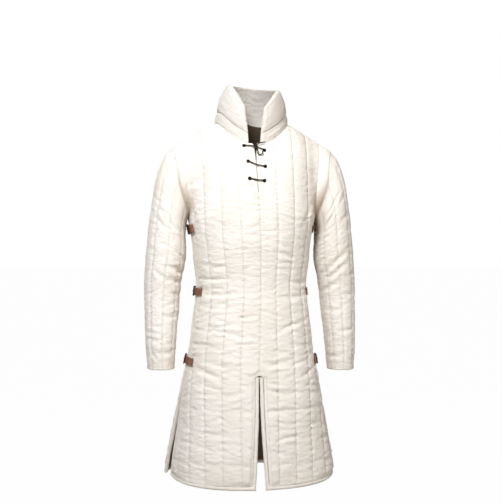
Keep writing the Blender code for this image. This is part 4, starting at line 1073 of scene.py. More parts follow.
def collar_base(front, back):
    """The neck seam, outer and inner, from the front left edge round the back to the front right edge."""
    count = front["count"]
    columns = front["columns"]
    neck = int(np.argmin(np.abs(columns - NECK_COLUMN)))
    layers = []
    for layer in ("outer", "inner"):
        top_front = front[layer][-1]
        top_back = back[layer][-1]
        left = top_front[count - 1 - neck:count][::-1]
        right = top_front[count:count + neck + 1]
        edges = []
        source = front["outer"][-1]
        for half, line, target in (
            (left, source[count - 1 - neck:count][::-1], COLLAR_MIDDLE - COLLAR_BASE_GAP),
            (right, source[count:count + neck + 1], COLLAR_MIDDLE + COLLAR_BASE_GAP),
        ):
            order = np.abs(line[:, 0] - line[0, 0])
            start = float(np.interp(abs(target - line[0, 0]), order, np.arange(len(line))))
            keep = np.arange(math.ceil(start + 0.3), len(line))
            first = at_distance(half, np.arange(len(half)), start)
            edges.append(np.concatenate([[first], half[keep]]))
        corner_left = (top_front[count - 1 - neck] + top_back[count - 1 - neck]) / 2
        corner_right = (top_front[count + neck] + top_back[count + neck]) / 2
        rear = np.concatenate([top_back[count - neck:count - 1], top_back[count:count + neck]])
        ring = np.concatenate([edges[0][:-1], [corner_left], rear, [corner_right], edges[1][:-1][::-1]])
        layers.append(ring)
    return layers


def collar_top(base):
    outer, inner = [], []
    starts = (
        (base[0], math.asin((COLLAR_TOP_GAP - COLLAR_MIDDLE) / COLLAR_TOP_HALF)),
        (base[-1], math.asin((COLLAR_TOP_GAP + COLLAR_MIDDLE) / COLLAR_TOP_HALF)),
    )
    quarter = math.pi / 2
    for x0, y0, _ in base:
        side = -1 if x0 < 0 else 1
        start, top_start = starts[0] if side < 0 else starts[1]
        depth = FRONT.neck_depth if y0 < 0 else BACK.neck_depth
        angle = math.atan2(abs(x0) / NECK_HALF, -y0 / depth)
        first = math.atan2(abs(start[0]) / NECK_HALF, -start[1] / FRONT.neck_depth)
        if angle < quarter:
            angle = top_start + (angle - first) * (quarter - top_start) / (quarter - first)
            slope = (math.sin(angle) - math.sin(top_start)) / (1 - math.sin(top_start))
            z = COLLAR_CORNER_Z + (COLLAR_TOP_Z - COLLAR_CORNER_Z) * slope
        else:
            z = COLLAR_TOP_Z + COLLAR_BACK_RISE * math.sin(angle - quarter)
        flat = np.array([side * math.sin(angle), -math.cos(angle), 0])
        x = COLLAR_TOP_HALF * flat[0]
        y = COLLAR_TOP_Y + COLLAR_TOP_DEPTH * flat[1]
        outer.append([x, y, z + COLLAR_TILT * x])
        inner.append(np.array(outer[-1]) - flat * COLLAR_WALL)
    return np.array(outer), np.array(inner)


def collar_surface(base_out, base_in, low, high, rows, bulge, seed):
    top_out, top_in = collar_top(base_out)
    heights = np.linspace(low, high, rows)
    if high == 1.0:
        heights = np.unique(np.concatenate([heights, [0.985, 0.992, 0.997]]))
    outer, inner, lines, runs = [], [], [], []
    walked = walk(base_out)
    to_edge = np.minimum(walked, walked[-1] - walked)
    for height in heights:
        spread = height**COLLAR_CURVE
        point = base_out + (top_out - base_out) * spread
        point[:, 2] = base_out[:, 2] + (top_out[:, 2] - base_out[:, 2]) * height
        point_in = base_in + (top_in - base_in) * spread
        point_in[:, 2] = base_in[:, 2] + (top_in[:, 2] - base_in[:, 2]) * height
        flat = point - point_in
        flat[:, 2] = 0
        flat = unit(flat)
        place = (height - low) / (high - low)
        tall = np.abs(top_out[:, 2] - base_out[:, 2])
        rise = tall * (height - low)
        drop = tall * (high - height)
        lift = bulge * math.sin(math.pi * place) ** 0.7 * smooth(to_edge, 0, 0.010)
        lift = lift - 0.0016 * np.exp(-(((to_edge - 0.0135) / 0.0022) ** 2))
        lumps = noise(walked / 0.03, np.full_like(walked, place * 4 + 9), seed)
        lift += 0.0009 * lumps * math.sin(math.pi * place)
        lift -= 0.0010 * np.exp(-((rise / 0.003) ** 2)) * (low > 0)
        round_top = 0.0
        if high == 1.0:
            edge = np.clip((0.0042 - drop) / 0.0042, 0, 1)
            round_top = 0.0040 * (1 - np.sqrt(np.maximum(1 - edge**2, 0)))
        side_edge = np.clip((0.0040 - to_edge) / 0.0040, 0, 1)
        round_side = 0.0036 * (1 - np.sqrt(np.maximum(1 - side_edge**2, 0)))
        pull = np.minimum(round_top + round_side, 0.0042)
        outer.append(point + flat * (lift - pull)[:, None])
        inner.append(point_in + flat * pull[:, None])
        lines.append(np.abs(to_edge - 0.0135))
        runs.append(tall * height)
    outer, inner = np.array(outer), np.array(inner)
    cloth = np.stack([walked[None, :] + 0 * outer[..., 0], np.array(runs), np.array(lines)], -1)
    return outer, inner, cloth


def roll_path(grid, cells):
    """Middle of the wall, outward and thickness directions along the edge of a panel."""
    outer, inner = grid["base"], grid["inner"]
    middles, aways, thicks = [], [], []
    for row, place, row_in, place_in in cells:
        thick = unit(outer[row, place] - inner[row, place])
        middle = inner[row, place] + thick * WALL / 2
        behind = (inner[row_in, place_in] + outer[row_in, place_in]) / 2
        away = middle - behind
        away -= thick * away.dot(thick)
        middles.append(middle)
        aways.append(unit(away))
        thicks.append(thick)
    return [np.array(part) for part in (middles, aways, thicks)]


def roll_object(name, stretches, seed):
    """A padded roll of canvas round an edge, with small folds where it is stitched."""
    middles, aways, thicks = [], [], []
    for number, (middle, away, thick) in enumerate(stretches):
        start = 1 if number else 0
        middle, away, thick = middle[start:], away[start:].copy(), thick[start:]
        if number < len(stretches) - 1:
            spread = stretches[number][1][-1] + stretches[number + 1][1][0]
            away[-1] = spread * 2 / spread.dot(spread)
        middles.append(middle)
        aways.append(away)
        thicks.append(thick)
    middle, away, thick = (np.concatenate(part) for part in (middles, aways, thicks))
    sides = 14
    run = walk(middle)
    centre = middle + away * (SEAM_GAP + ROLL_RADIUS)
    angle = 2 * np.pi * (np.arange(sides) + 0.5) / sides
    fold = 0.00035 * noise(run[:, None] / 0.0065 + 0 * angle, angle[None, :] * 1.1 + run[:, None] * 30, seed)
    fold += 0.00045 * noise(run[:, None] / 0.03 + 0 * angle, angle[None, :] / 3 + 0 * run[:, None], seed + 1)
    radius = ROLL_RADIUS * 0.98 + fold
    offset = away[:, None] * np.cos(angle)[None, :, None] + thick[:, None] * np.sin(angle)[None, :, None]
    points = centre[:, None] + offset * radius[..., None]
    index = np.arange(len(middle) * sides).reshape(len(middle), sides)
    faces = quads(wrapped(index)) + [index[0].tolist()[::-1], index[-1].tolist()]
    item = make_object(name, points.reshape(-1, 3).tolist(), faces)
    face_outward(item.data)
    shape = points.shape[:2]
    cloth = np.stack([
        np.broadcast_to(angle[None, :] * ROLL_RADIUS, shape), np.broadcast_to(run[:, None], shape),
        np.full(shape, 0.02),
    ], -1)
    set_cloth(item, cloth.reshape(-1, 3))
    return item


def panel_rolls(front, back, material):
    count, width = front["count"], front["outer"].shape[1]
    underarm = front["underarm"]
    levels = [level for level, _ in front["rows"]]
    slit_top = max(row for row in range(underarm) if levels[row] < SKIRT_SLIT_TOP)
    for name, near, inward, end in (
        ("binding_front_left", count - 1, -1, 0),
        ("binding_front_right", count, 1, width - 1),
    ):
        slit = [(row, near, row, near + 3 * inward) for row in range(slit_top, -1, -1)]
        hem = [(0, place, 2, place) for place in range(near, end + inward, inward)]
        side = [(row, end, row, end - 3 * inward) for row in range(underarm + 1)]
        paths = [roll_path(front, cells) for cells in (slit, hem, side)]
        item = roll_object("cloth_" + name, paths, 5)
        finish_piece(item, material, [name])
    left = [(row, 0, row, 3) for row in range(underarm, -1, -1)]
    hem = [(0, place, 2, place) for place in range(width) if place != count]
    right = [(row, width - 1, row, width - 4) for row in range(underarm + 1)]
    paths = [roll_path(back, cells) for cells in (left, hem, right)]
    item = roll_object("cloth_binding_back", paths, 8)
    finish_piece(item, material, ["binding_back"])


def shade(tint, red, green, blue):
    return tint[0] * red, tint[1] * green, tint[2] * blue, 1


def new_material(name):
    material = bpy.data.materials.new(name)
    material.use_nodes = True
    tree = material.node_tree
    return material, tree, tree.nodes["Principled BSDF"]


class Graph:
    """Short calls for making shader nodes."""

    def __init__(self, tree):
        self.tree = tree

    def node(self, kind, **settings):
        item = self.tree.nodes.new(kind)
        for key, value in settings.items():
            setattr(item, key, value)
        return item

    def link(self, source, target):
        self.tree.links.new(source, target)

    def feed(self, target, value):
        if isinstance(value, bpy.types.NodeSocket):
            self.link(value, target)
        else:
            target.default_value = value

    def math(self, operation, first, second=0.0, third=None, clamp=False):
        item = self.node("ShaderNodeMath", operation=operation, use_clamp=clamp)
        self.feed(item.inputs[0], first)
        self.feed(item.inputs[1], second)
        if third is not None:
            self.feed(item.inputs[2], third)
        return item.outputs[0]

    def times(self, value, number):
        return self.math("MULTIPLY", value, number)

    def ramp(self, value, low, high, start=0.0, stop=1.0):
        item = self.node("ShaderNodeMapRange", interpolation_type="SMOOTHSTEP")
        self.feed(item.inputs["Value"], value)
        self.feed(item.inputs["From Min"], low)
        self.feed(item.inputs["From Max"], high)
        self.feed(item.inputs["To Min"], start)
        self.feed(item.inputs["To Max"], stop)
        return item.outputs["Result"]

    def mix(self, factor, first, second):
        item = self.node("ShaderNodeMix", data_type="RGBA")
        self.feed(item.inputs[0], factor)
        self.feed(item.inputs[6], first)
        self.feed(item.inputs[7], second)
        return item.outputs[2]

    def vector(self, x, y, z=0.0):
        item = self.node("ShaderNodeCombineXYZ")
        self.feed(item.inputs[0], x)
        self.feed(item.inputs[1], y)
        self.feed(item.inputs[2], z)
        return item.outputs[0]

    def noise(self, vector, scale, detail=2.0, rough=0.5):
        item = self.node("ShaderNodeTexNoise")
        self.feed(item.inputs["Vector"], vector)
        item.inputs["Scale"].default_value = scale
        item.inputs["Detail"].default_value = detail
        item.inputs["Roughness"].default_value = rough
        return item.outputs["Fac"]

    def stretched(self, across, along, each, detail=2.0, rough=0.5, part=0.0):
        """Noise with its own scale across and along the cloth."""
        place = self.vector(self.times(across, each[0]), self.times(along, each[1]), part)
        return self.noise(place, 1.0, detail, rough)

    def bump(self, height, distance, strength=1.0, under=None):
        item = self.node("ShaderNodeBump")
        item.inputs["Distance"].default_value = distance
        item.inputs["Strength"].default_value = strength
        self.feed(item.inputs["Height"], height)
        if under is not None:
            self.link(under, item.inputs["Normal"])
        return item.outputs["Normal"]


def canvas_material(name, tint, stitched):
    material, tree, shader = new_material(name)
    g = Graph(tree)
    attribute = g.node("ShaderNodeAttribute", attribute_name="cloth")
    split = g.node("ShaderNodeSeparateXYZ")
    g.link(attribute.outputs["Vector"], split.inputs[0])
    across, along, line = split.outputs
    place = g.node("ShaderNodeTexCoord").outputs["Object"]
    flat = g.vector(across, along)

    broad = g.noise(place, 9.0, 3.0)
    base = g.mix(g.ramp(broad, 0.36, 0.66), tint + (1,), shade(tint, 0.95, 0.935, 0.905))
    warp = g.stretched(across, along, (1400.0, 70.0))
    weft = g.stretched(across, along, (70.0, 1400.0), part=4.0)
    slub = g.math("ADD", g.ramp(warp, 0.52, 0.80), g.ramp(weft, 0.52, 0.80))
    base = g.mix(g.times(slub, 0.30), base, shade(tint, 0.86, 0.83, 0.78))
    fleck = g.ramp(g.noise(flat, 520.0, 1.0), 0.735, 0.80)
    base = g.mix(g.times(fleck, 0.45), base, (0.36, 0.27, 0.17, 1))
    # Random patches of real soil
    soil_and_painted_shade = g.ramp(g.noise(place, 34.0, 4.0, 0.6), 0.50, 0.78)
    base = g.mix(g.times(soil_and_painted_shade, 0.16), base, shade(tint, 0.82, 0.78, 0.70))

    wave_u = g.math("SINE", g.times(across, 2 * math.pi / 0.00085))
    wave_v = g.math("SINE", g.times(along, 2 * math.pi / 0.00085))
    weave = g.math("ADD", g.times(wave_u, wave_v), g.times(slub, 1.4))
    crush = g.stretched(across, along, (46.0, 105.0), 3.0, 0.6)
    normal = g.bump(crush, 0.0048, 0.62)
    crinkle = g.stretched(across, along, (95.0, 240.0), 2.0, 0.55, 9.0)
    normal = g.bump(crinkle, 0.0014, 0.40, normal)
    # Painted shade in the hollows of the crumpled cloth: darker where the crush bump is low
    low = g.ramp(crush, 0.46, 0.30)
    base = g.mix(g.times(low, 0.45), base, shade(tint, 0.90, 0.85, 0.78))
    normal = g.bump(g.noise(flat, 260.0, 3.0), 0.0012, 0.35, normal)
    normal = g.bump(weave, 0.00012, 0.55, normal)
    # Painted shade: darker brown where the mesh attribute marks the underarms, armhole seams and sleeves'
    # inner sides
    painted_shade = g.node("ShaderNodeAttribute", attribute_name="soil_and_painted_shade").outputs["Fac"]
    base = g.mix(g.times(painted_shade, 0.80), base, shade(tint, 0.36, 0.25, 0.16))
    if stitched:
        groove = g.ramp(line, 0.0, 0.0026)
        normal = g.bump(groove, 0.0007, 0.8, normal)
        # Painted shade in the grooves: the cloth darkens towards each quilting and seam line
        base = g.mix(g.ramp(line, 0.0, 0.0026, 0.32, 0.0), base, shade(tint, 0.60, 0.54, 0.46))
        dash = g.math("FRACT", g.math("DIVIDE", along, STITCH_LENGTH))
        gap = g.times(g.ramp(dash, 0.0, 0.14), g.ramp(dash, 1.0, 0.86))
        thread = g.times(g.ramp(line, 0.00075, 0.00045), gap)
        base = g.mix(thread, base, shade(tint, 1.04, 1.04, 1.03))
        # Painted shade in the needle holes between the stitches
        needle_hole_shade = g.times(g.ramp(line, 0.0008, 0.0004), g.math("SUBTRACT", 1.0, gap))
        base = g.mix(g.times(needle_hole_shade, 0.6), base, (0.20, 0.16, 0.12, 1))
        normal = g.bump(thread, 0.0004, 0.7, normal)
    g.link(base, shader.inputs["Base Color"])
    g.link(normal, shader.inputs["Normal"])
    shader.inputs["Roughness"].default_value = 0.93
    shader.inputs["Specular IOR Level"].default_value = 0.22
    shader.inputs["Sheen Weight"].default_value = 0.18
    shader.inputs["Sheen Roughness"].default_value = 0.5
    shader.inputs["Sheen Tint"].default_value = (1.0, 0.95, 0.88, 1)
    return material


def leather_material():
    material, tree, shader = new_material("leather")
    g = Graph(tree)
    place = g.node("ShaderNodeTexCoord").outputs["Object"]
    broad = g.ramp(g.noise(place, 60.0, 4.0, 0.6), 0.35, 0.70)
    base = g.mix(broad, (0.29, 0.105, 0.052, 1), (0.18, 0.062, 0.030, 1))
    scuff = g.ramp(g.noise(place, 420.0, 3.0, 0.7), 0.60, 0.78)
    base = g.mix(g.times(scuff, 0.5), base, (0.48, 0.24, 0.13, 1))
    g.link(base, shader.inputs["Base Color"])
    grain = g.node("ShaderNodeTexVoronoi", feature="DISTANCE_TO_EDGE")
    g.link(place, grain.inputs["Vector"])
    grain.inputs["Scale"].default_value = 1300.0
    normal = g.bump(g.ramp(grain.outputs["Distance"], 0.0, 0.25), 0.00018, 0.7)
    normal = g.bump(g.noise(place, 160.0, 2.0), 0.0006, 0.4, normal)
    g.link(normal, shader.inputs["Normal"])
    rough = g.ramp(g.noise(place, 90.0, 3.0), 0.3, 0.7, 0.38, 0.60)
    g.link(rough, shader.inputs["Roughness"])
    shader.inputs["Coat Weight"].default_value = 0.12
    shader.inputs["Coat Roughness"].default_value = 0.35
    return material


def metal_material(name, dark, worn, metallic, low, high, shine):
    material, tree, shader = new_material(name)
    g = Graph(tree)
    place = g.node("ShaderNodeTexCoord").outputs["Object"]
    wear = g.ramp(g.noise(place, 380.0, 4.0, 0.65), 0.56, 0.74)
    edge = g.ramp(g.node("ShaderNodeNewGeometry").outputs["Pointiness"], 0.52, 0.62)
    base = g.mix(g.times(g.math("ADD", wear, edge, clamp=True), 0.6), dark + (1,), worn + (1,))
    g.link(base, shader.inputs["Base Color"])
    g.link(g.ramp(g.noise(place, 120.0, 3.0), 0.3, 0.7, low, high), shader.inputs["Roughness"])
    g.link(g.bump(g.noise(place, 700.0, 2.0), 0.0001, 0.4), shader.inputs["Normal"])
    shader.inputs["Metallic"].default_value = metallic
    shader.inputs["Specular IOR Level"].default_value = shine
    return material


def cord_material():
    material, tree, shader = new_material("cord")
    g = Graph(tree)
    attribute = g.node("ShaderNodeAttribute", attribute_name="cloth")
    split = g.node("ShaderNodeSeparateXYZ")
    g.link(attribute.outputs["Vector"], split.inputs[0])
    turn, run, _ = split.outputs
    left = g.math("SINE", g.math("ADD", g.times(turn, 4.0), g.times(run, 2600.0)))
    right = g.math("SINE", g.math("SUBTRACT", g.times(turn, 4.0), g.times(run, 2600.0)))
    braid = g.math("MAXIMUM", left, right)
    base = g.mix(g.ramp(braid, -0.2, 0.9), (0.010, 0.008, 0.007, 1), (0.045, 0.034, 0.027, 1))
    place = g.node("ShaderNodeTexCoord").outputs["Object"]
    fuzz = g.noise(place, 1500.0, 2.0)
    base = g.mix(g.ramp(fuzz, 0.55, 0.8, 0.0, 0.4), base, (0.11, 0.085, 0.065, 1))
    g.link(base, shader.inputs["Base Color"])
    g.link(g.bump(fuzz, 0.0002, 0.4, g.bump(braid, 0.00035, 0.8)), shader.inputs["Normal"])
    shader.inputs["Roughness"].default_value = 0.9
    shader.inputs["Specular IOR Level"].default_value = 0.2
    return material


def thread_material():
    material, tree, shader = new_material("thread")
    g = Graph(tree)
    place = g.node("ShaderNodeTexCoord").outputs["Object"]
    base = g.mix(g.noise(place, 300.0, 2.0), (0.70, 0.62, 0.50, 1), (0.58, 0.50, 0.38, 1))
    g.link(base, shader.inputs["Base Color"])
    g.link(g.bump(g.noise(place, 2600.0, 1.0), 0.0001, 0.6), shader.inputs["Normal"])
    shader.inputs["Roughness"].default_value = 0.75
    return material


class Pile:
    """Points and faces of several small shapes that make one piece."""

    def __init__(self):
        self.points = []
        self.faces = []
        self.cloth = []
        self.count = 0

    def add(self, points, faces, cloth=None):
        points = np.asarray(points, float)
        self.points.append(points)
        self.cloth.append(np.zeros_like(points) if cloth is None else np.asarray(cloth, float))
        self.faces += [[corner + self.count for corner in face] for face in faces]
        self.count += len(points)

    def tube(self, path, radius, sides=10, closed=False, flat=1.0, up=(0, -1, 0)):
        """A round or flattened tube along a path."""
        path = np.asarray(path, float)
        if closed:
            tangents = unit(np.roll(path, -1, axis=0) - np.roll(path, 1, axis=0))
        else:
            tangents = unit(np.gradient(path, axis=0))
        run = walk(path)
        radius = np.full(len(path), radius) if np.isscalar(radius) else np.asarray(radius)
        normal = np.array(up, float)
        rings = []
        for point, tangent, size in zip(path, tangents, radius):
            normal = unit(normal - tangent * normal.dot(tangent))
            side = np.cross(tangent, normal)
            angle = 2 * np.pi * np.arange(sides) / sides
            spread = np.cos(angle)[:, None] * side + flat * np.sin(angle)[:, None] * normal
            rings.append(point + size * spread)
        count = len(path)
        index = np.arange(count * sides).reshape(count, sides)
        faces = quads(wrapped(index, closed))
        if not closed:
            faces += [index[0].tolist()[::-1], index[-1].tolist()]
        turn = np.broadcast_to(2 * np.pi * np.arange(sides)[None, :] / sides, (count, sides))
        cloth = np.stack([turn, np.broadcast_to(run[:, None], (count, sides)), 0 * turn], -1)
        self.add(np.concatenate(rings), faces, cloth.reshape(-1, 3))

    def build(self, name):
        item = make_object(name, np.concatenate(self.points).tolist(), self.faces, 50)
        face_outward(item.data)
        set_cloth(item, np.concatenate(self.cloth))
        return item


def add_stitches(pile, path, normals, lift=0.0001, length=STITCH_LENGTH, radius=0.00042):
    """A row of short thread stitches that lie on the cloth."""
    path = np.asarray(path, float)
    normals = np.asarray(normals, float)
    run = walk(path)
    count = int(run[-1] / length)
    shape = np.array([
        (-0.5, 0, -0.5), (-0.28, 0.8, 0.3), (-0.28, -0.8, 0.3), (-0.28, 0, 1.1),
        (0.28, 0.8, 0.3), (0.28, -0.8, 0.3), (0.28, 0, 1.1), (0.5, 0, -0.5),
    ])
    faces = [
        [0, 3, 1], [0, 2, 3], [0, 1, 2], [1, 3, 6, 4], [3, 2, 5, 6], [2, 1, 4, 5],
        [7, 4, 6], [7, 6, 5], [7, 5, 4],
    ]
    for number in range(count):
        middle = (number + 0.5) * length
        ends = [middle - 0.36 * length, middle + 0.36 * length]
        start, stop = (at_distance(path, run, at) for at in ends)
        normal = unit(at_distance(normals, run, middle))
        tangent = stop - start
        reach = np.linalg.norm(tangent)
        if reach < 1e-6:
            continue
        tangent = tangent / reach
        side = unit(np.cross(normal, tangent))
        centre = (start + stop) / 2 + normal * lift
        points = (
            centre + shape[:, :1] * tangent * reach * 1.25 + shape[:, 1:2] * side * radius
            + shape[:, 2:3] * normal * radius
        )
        pile.add(points, faces)


def grid_line(grid, rows, half, distance):
    """A line on a panel at a distance from the edge of its half: side edges are 'left' and 'right'."""
    outer, normals, count = grid["outer"], grid["normals"], grid["count"]
    path, directions = [], []
    for row in rows:
        if half == "left":
            points, ups = outer[row, :count], normals[row, :count]
        elif half == "right":
            points, ups = outer[row, count:][::-1], normals[row, count:][::-1]
        elif half == "slit_left":
            points, ups = outer[row, :count][::-1], normals[row, :count][::-1]
        else:
            points, ups = outer[row, count:], normals[row, count:]
        walked = walk(points)
        path.append(at_distance(points, walked, distance))
        directions.append(unit(at_distance(ups, walked, distance)))
    return np.array(path), np.array(directions)


class Skin:
    """The outer surface of a piece, found by a straight line from before it."""

    def __init__(self, item):
        body = bmesh.new()
        body.from_mesh(item.data)
        self.tree = BVHTree.FromBMesh(body)
        body.free()

    def cast(self, x, z):
        hit, normal, _, _ = self.tree.ray_cast(Vector((x, -1.0, z)), Vector((0, 1, 0)))
        return hit, normal

    def at(self, x, z, out):
        hit, normal = self.cast(x, z)
        if hit is None or abs(normal.y) < 0.5:
            sides = [self.cast(x - SLIT_REACH, z), self.cast(x + SLIT_REACH, z)]
            sides = [side for side in sides if side[0] is not None] or [self.cast(x, z - SLIT_REACH)]
            hit = sum((side[0] for side in sides), Vector()) / len(sides)
            normal = sum((side[1] for side in sides), Vector()).normalized()
        if normal.y > 0:
            normal = -normal
        return hit + normal * out, normal


def smooth_route(route, step_length):
    """Points on a smooth curve that passes through all of a route's own points."""
    route = [Vector(point) for point in route]
    points = [route[0]]
    for index in range(len(route) - 1):
        before = route[max(index - 1, 0)]
        low = route[index]
        high = route[index + 1]
        after = route[min(index + 2, len(route) - 1)]
        reach = (high - low).length
        out_slope = (high - before).normalized() * reach
        in_slope = (after - low).normalized() * reach
        parts = max(1, round(reach / step_length))
        for part in range(1, parts + 1):
            t = part / parts
            ease = t * t * (3 - 2 * t)
            bend = out_slope * (t * (1 - t) ** 2) - in_slope * (t * t * (1 - t))
            points.append(low.lerp(high, ease) + bend)
    return points


def build_lacing(skin, cord, enamel):
    ends = {}
    for name, x, z in EYELETS:
        base, normal = skin.at(x, z, 0.0)
        ends[name] = (base, normal)
        pile = Pile()
        turn = normal.to_track_quat("Z", "Y")
        profile = []
        for step in range(9):
            angle = math.pi * step / 8
            middle = (EYELET_RADIUS + EYELET_HOLE) / 2
            half = (EYELET_RADIUS - EYELET_HOLE) / 2
            profile.append((middle - half * math.cos(angle), 0.0004 + EYELET_HEIGHT * math.sin(angle) * 0.7))
        profile += [(EYELET_RADIUS, -0.0006), (EYELET_HOLE, -0.0030)]
        count, sides = len(profile), 36
        points = []
        for side in range(sides):
            angle = 2 * math.pi * side / sides
            for radius, height in profile:
                spot = Vector((math.cos(angle) * radius, math.sin(angle) * radius, height))
                points.append(base + turn @ spot)
        faces = quads(wrapped(np.arange(sides * count).reshape(sides, count), True))
        pile.add([tuple(point) for point in points], faces)
        # A black disc over each eyelet's hole: painted shade for the dark inside of the hole
        rim = [Vector((math.cos(turn_at) * EYELET_HOLE, math.sin(turn_at) * EYELET_HOLE, 0.0002))
               for turn_at in np.arange(24) * math.pi / 12]
        hole_shadow_disc = [base + turn @ Vector((0, 0, 0.0003))] + [base + turn @ spot for spot in rim]
        pile.add([tuple(point) for point in hole_shadow_disc], [[0, 1 + at, 1 + (at + 1) % 24] for at in range(24)])
        finish_piece(pile.build("ring_" + name), enamel, ["eyelet_" + name])

    outward = (LACE_IN, -0.006, 0.0005, LACE_OUT)
    knot_centre, _ = skin.at(*KNOT, KNOT_OUT)
    across = Vector((1, 0, 0))
    start = knot_centre - across * (KNOT_SIZE[0] * 0.6) + Vector((0, 0, 0.0008))
    finish = knot_centre + across * (KNOT_SIZE[0] * 0.6) - Vector((0, 0, 0.0012))

    def through(name, outs):
        base, normal = ends[name]
        return [base + normal * out for out in outs]

    def bar(left, right, sag):
        middle = (ends[left][0] + ends[right][0]) / 2
        return [skin.at(middle.x, middle.z - sag, LACE_OUT + 0.0006)[0]]

    def inside(x, z):
        return [skin.at(x, z, LACE_IN)[0]]

    route = [start, skin.at(-0.0200, -0.0600, LACE_OUT + 0.0008)[0]]
    route += through("left_1", reversed(outward)) + inside(-0.0150, -0.0790) + inside(0.0050, -0.0990)
    route += through("right_2", outward) + bar("left_2", "right_2", 0.0030)
    route += through("left_2", reversed(outward)) + inside(-0.0250, -0.1200)
    route += through("left_3", outward) + bar("left_3", "right_3", 0.0010)
    route += through("right_3", reversed(outward)) + inside(0.0240, -0.1360) + inside(0.0290, -0.1110)
    route += inside(0.0260, -0.0860) + through("right_1", outward)
    route += [skin.at(0.0085, -0.0672, LACE_OUT + 0.0008)[0], finish]
    pile = Pile()
    pile.tube(smooth_route(route, LACE_STEP), LACE_RADIUS, 12)
    finish_piece(pile.build("cord_lace"), cord, ["lace"])

    pile = Pile()
    for size, tilt in KNOT_TURNS:
        ring = []
        for step in range(28):
            angle = 2 * math.pi * step / 28
            spot = Vector((
                math.cos(angle) * KNOT_SIZE[0] * 0.82 * size,
                math.sin(angle) * KNOT_SIZE[1] * 0.62,
                math.sin(angle) * tilt * 0.0030 + math.cos(angle) * 0.0007,
            ))
            ring.append(knot_centre + spot)
        pile.tube(ring, LACE_RADIUS * 1.02, 10, closed=True)
    finish_piece(pile.build("cord_knot"), cord, ["lace_knot"])

    def at_knot(degrees):
        angle = math.radians(degrees)
        rim = Vector((math.cos(angle) * KNOT_SIZE[0], 0, math.sin(angle) * KNOT_SIZE[2]))
        flat = Vector((math.cos(angle) / KNOT_SIZE[0], 0, math.sin(angle) / KNOT_SIZE[2])).normalized()
        return knot_centre + rim + flat * KNOT_CLEAR

    loop = [at_knot(-75)]
    centre = skin.at(*LOOP_CENTRE, KNOT_OUT + 0.0012)[0]
    for step in range(7):
        angle = math.radians(150 + step * 40)
        loop.append(centre + Vector((math.cos(angle), 0, math.sin(angle))) * LOOP_RADIUS)
    tail_out = KNOT_OUT + 0.0020
    tail = [at_knot(60), skin.at(0.0040, -0.0560, tail_out)[0], skin.at(*TAIL_END, tail_out)[0]]
    stub = [at_knot(125), skin.at(*STUB_END, tail_out)[0]]
    made = {}
    for name, points in (("loop", loop), ("tail", tail), ("stub", stub)):
        path = smooth_route(points, 0.0015)
        pile = Pile()
        sizes = np.full(len(path), LACE_RADIUS)
        if name != "loop":
            sizes[-1] *= 0.75
        pile.tube(path, sizes, 12)
        item = finish_piece(pile.build("cord_" + name), cord, ["lace_" + name])
        made[name] = (item, path)
    item, path = made["loop"]


def side_point(side, distance, level, lift):
    """A point on the side of the body; distance runs back from the front panel's edge."""
    front_edge = FRONT.section(level)[3]
    back_edge = BACK.section(level)[3]
    gap = 2 * table_value(SIDE_GAP, level)
    if distance <= 0:
        panel, length = FRONT, front_edge + distance
    elif distance >= gap:
        panel, length = BACK, back_edge - (distance - gap)
    else:
        share = distance / gap
        return side_point(side, 0, level, lift) * (1 - share) + side_point(side, gap, level, lift) * share
    step = 0.004
    here = panel.place(side, np.array([length]), level)[0]
    before = panel.place(side, np.array([length - step]), level)[0]
    above = panel.place(side, np.array([length]), level + step)[0]
    up = above - panel.place(side, np.array([length]), level - step)[0]
    outward = unit(np.cross(unit(here - before), up))
    if outward[0] * side < 0:
        outward = -outward
    return here + outward * lift


def strap_piece(name, side, level, span, lift, leather, thread):
    """A strip of strap leather bent round the side, with eased edges and a stitched end."""
    start, end = span
    marks = np.linspace(start, end, max(8, round((end - start) / 0.0022)))
    heights = level + np.array((-1, -0.985, -0.94, -0.7, -0.35, 0, 0.35, 0.7, 0.94, 0.985, 1)) * STRAP_HALF
    ease = (0.0007, 0.0003, 0, 0, 0, 0, 0, 0, 0, 0.0003, 0.0007)
    free_end = end if start < 0 else start
    outer = []
    inner = []
    for mark in marks:
        low = lift - SEWN_DROP * float(smooth(abs(mark - free_end), 0.010, 0.036))
        outer.append([side_point(side, mark, at, low + STRAP_THICK - cut) for at, cut in zip(heights, ease)])
        inner.append([side_point(side, mark, at, low + cut * 0.5) for at, cut in zip(heights, ease)])
    outer = np.array(outer)
    inner = np.array(inner)
    item = wall_object("leather_" + name, outer, inner, np.zeros_like(outer), False)
    finish_piece(item, leather, [name])
    pile = Pile()
    normals = unit(outer - inner)
    rows = list(range(2, 8) if start < 0 else range(len(marks) - 8, len(marks) - 2))
    for place in (2, 8):
        add_stitches(pile, outer[rows, place], normals[rows, place], 0.0, STRAP_STITCH, STRAP_THREAD)
    for row in (rows[0], rows[-1]):
        add_stitches(pile, outer[row, 2:9], normals[row, 2:9], 0.0, STRAP_STITCH, STRAP_THREAD)
    finish_piece(pile.build("stitches_" + name), thread)


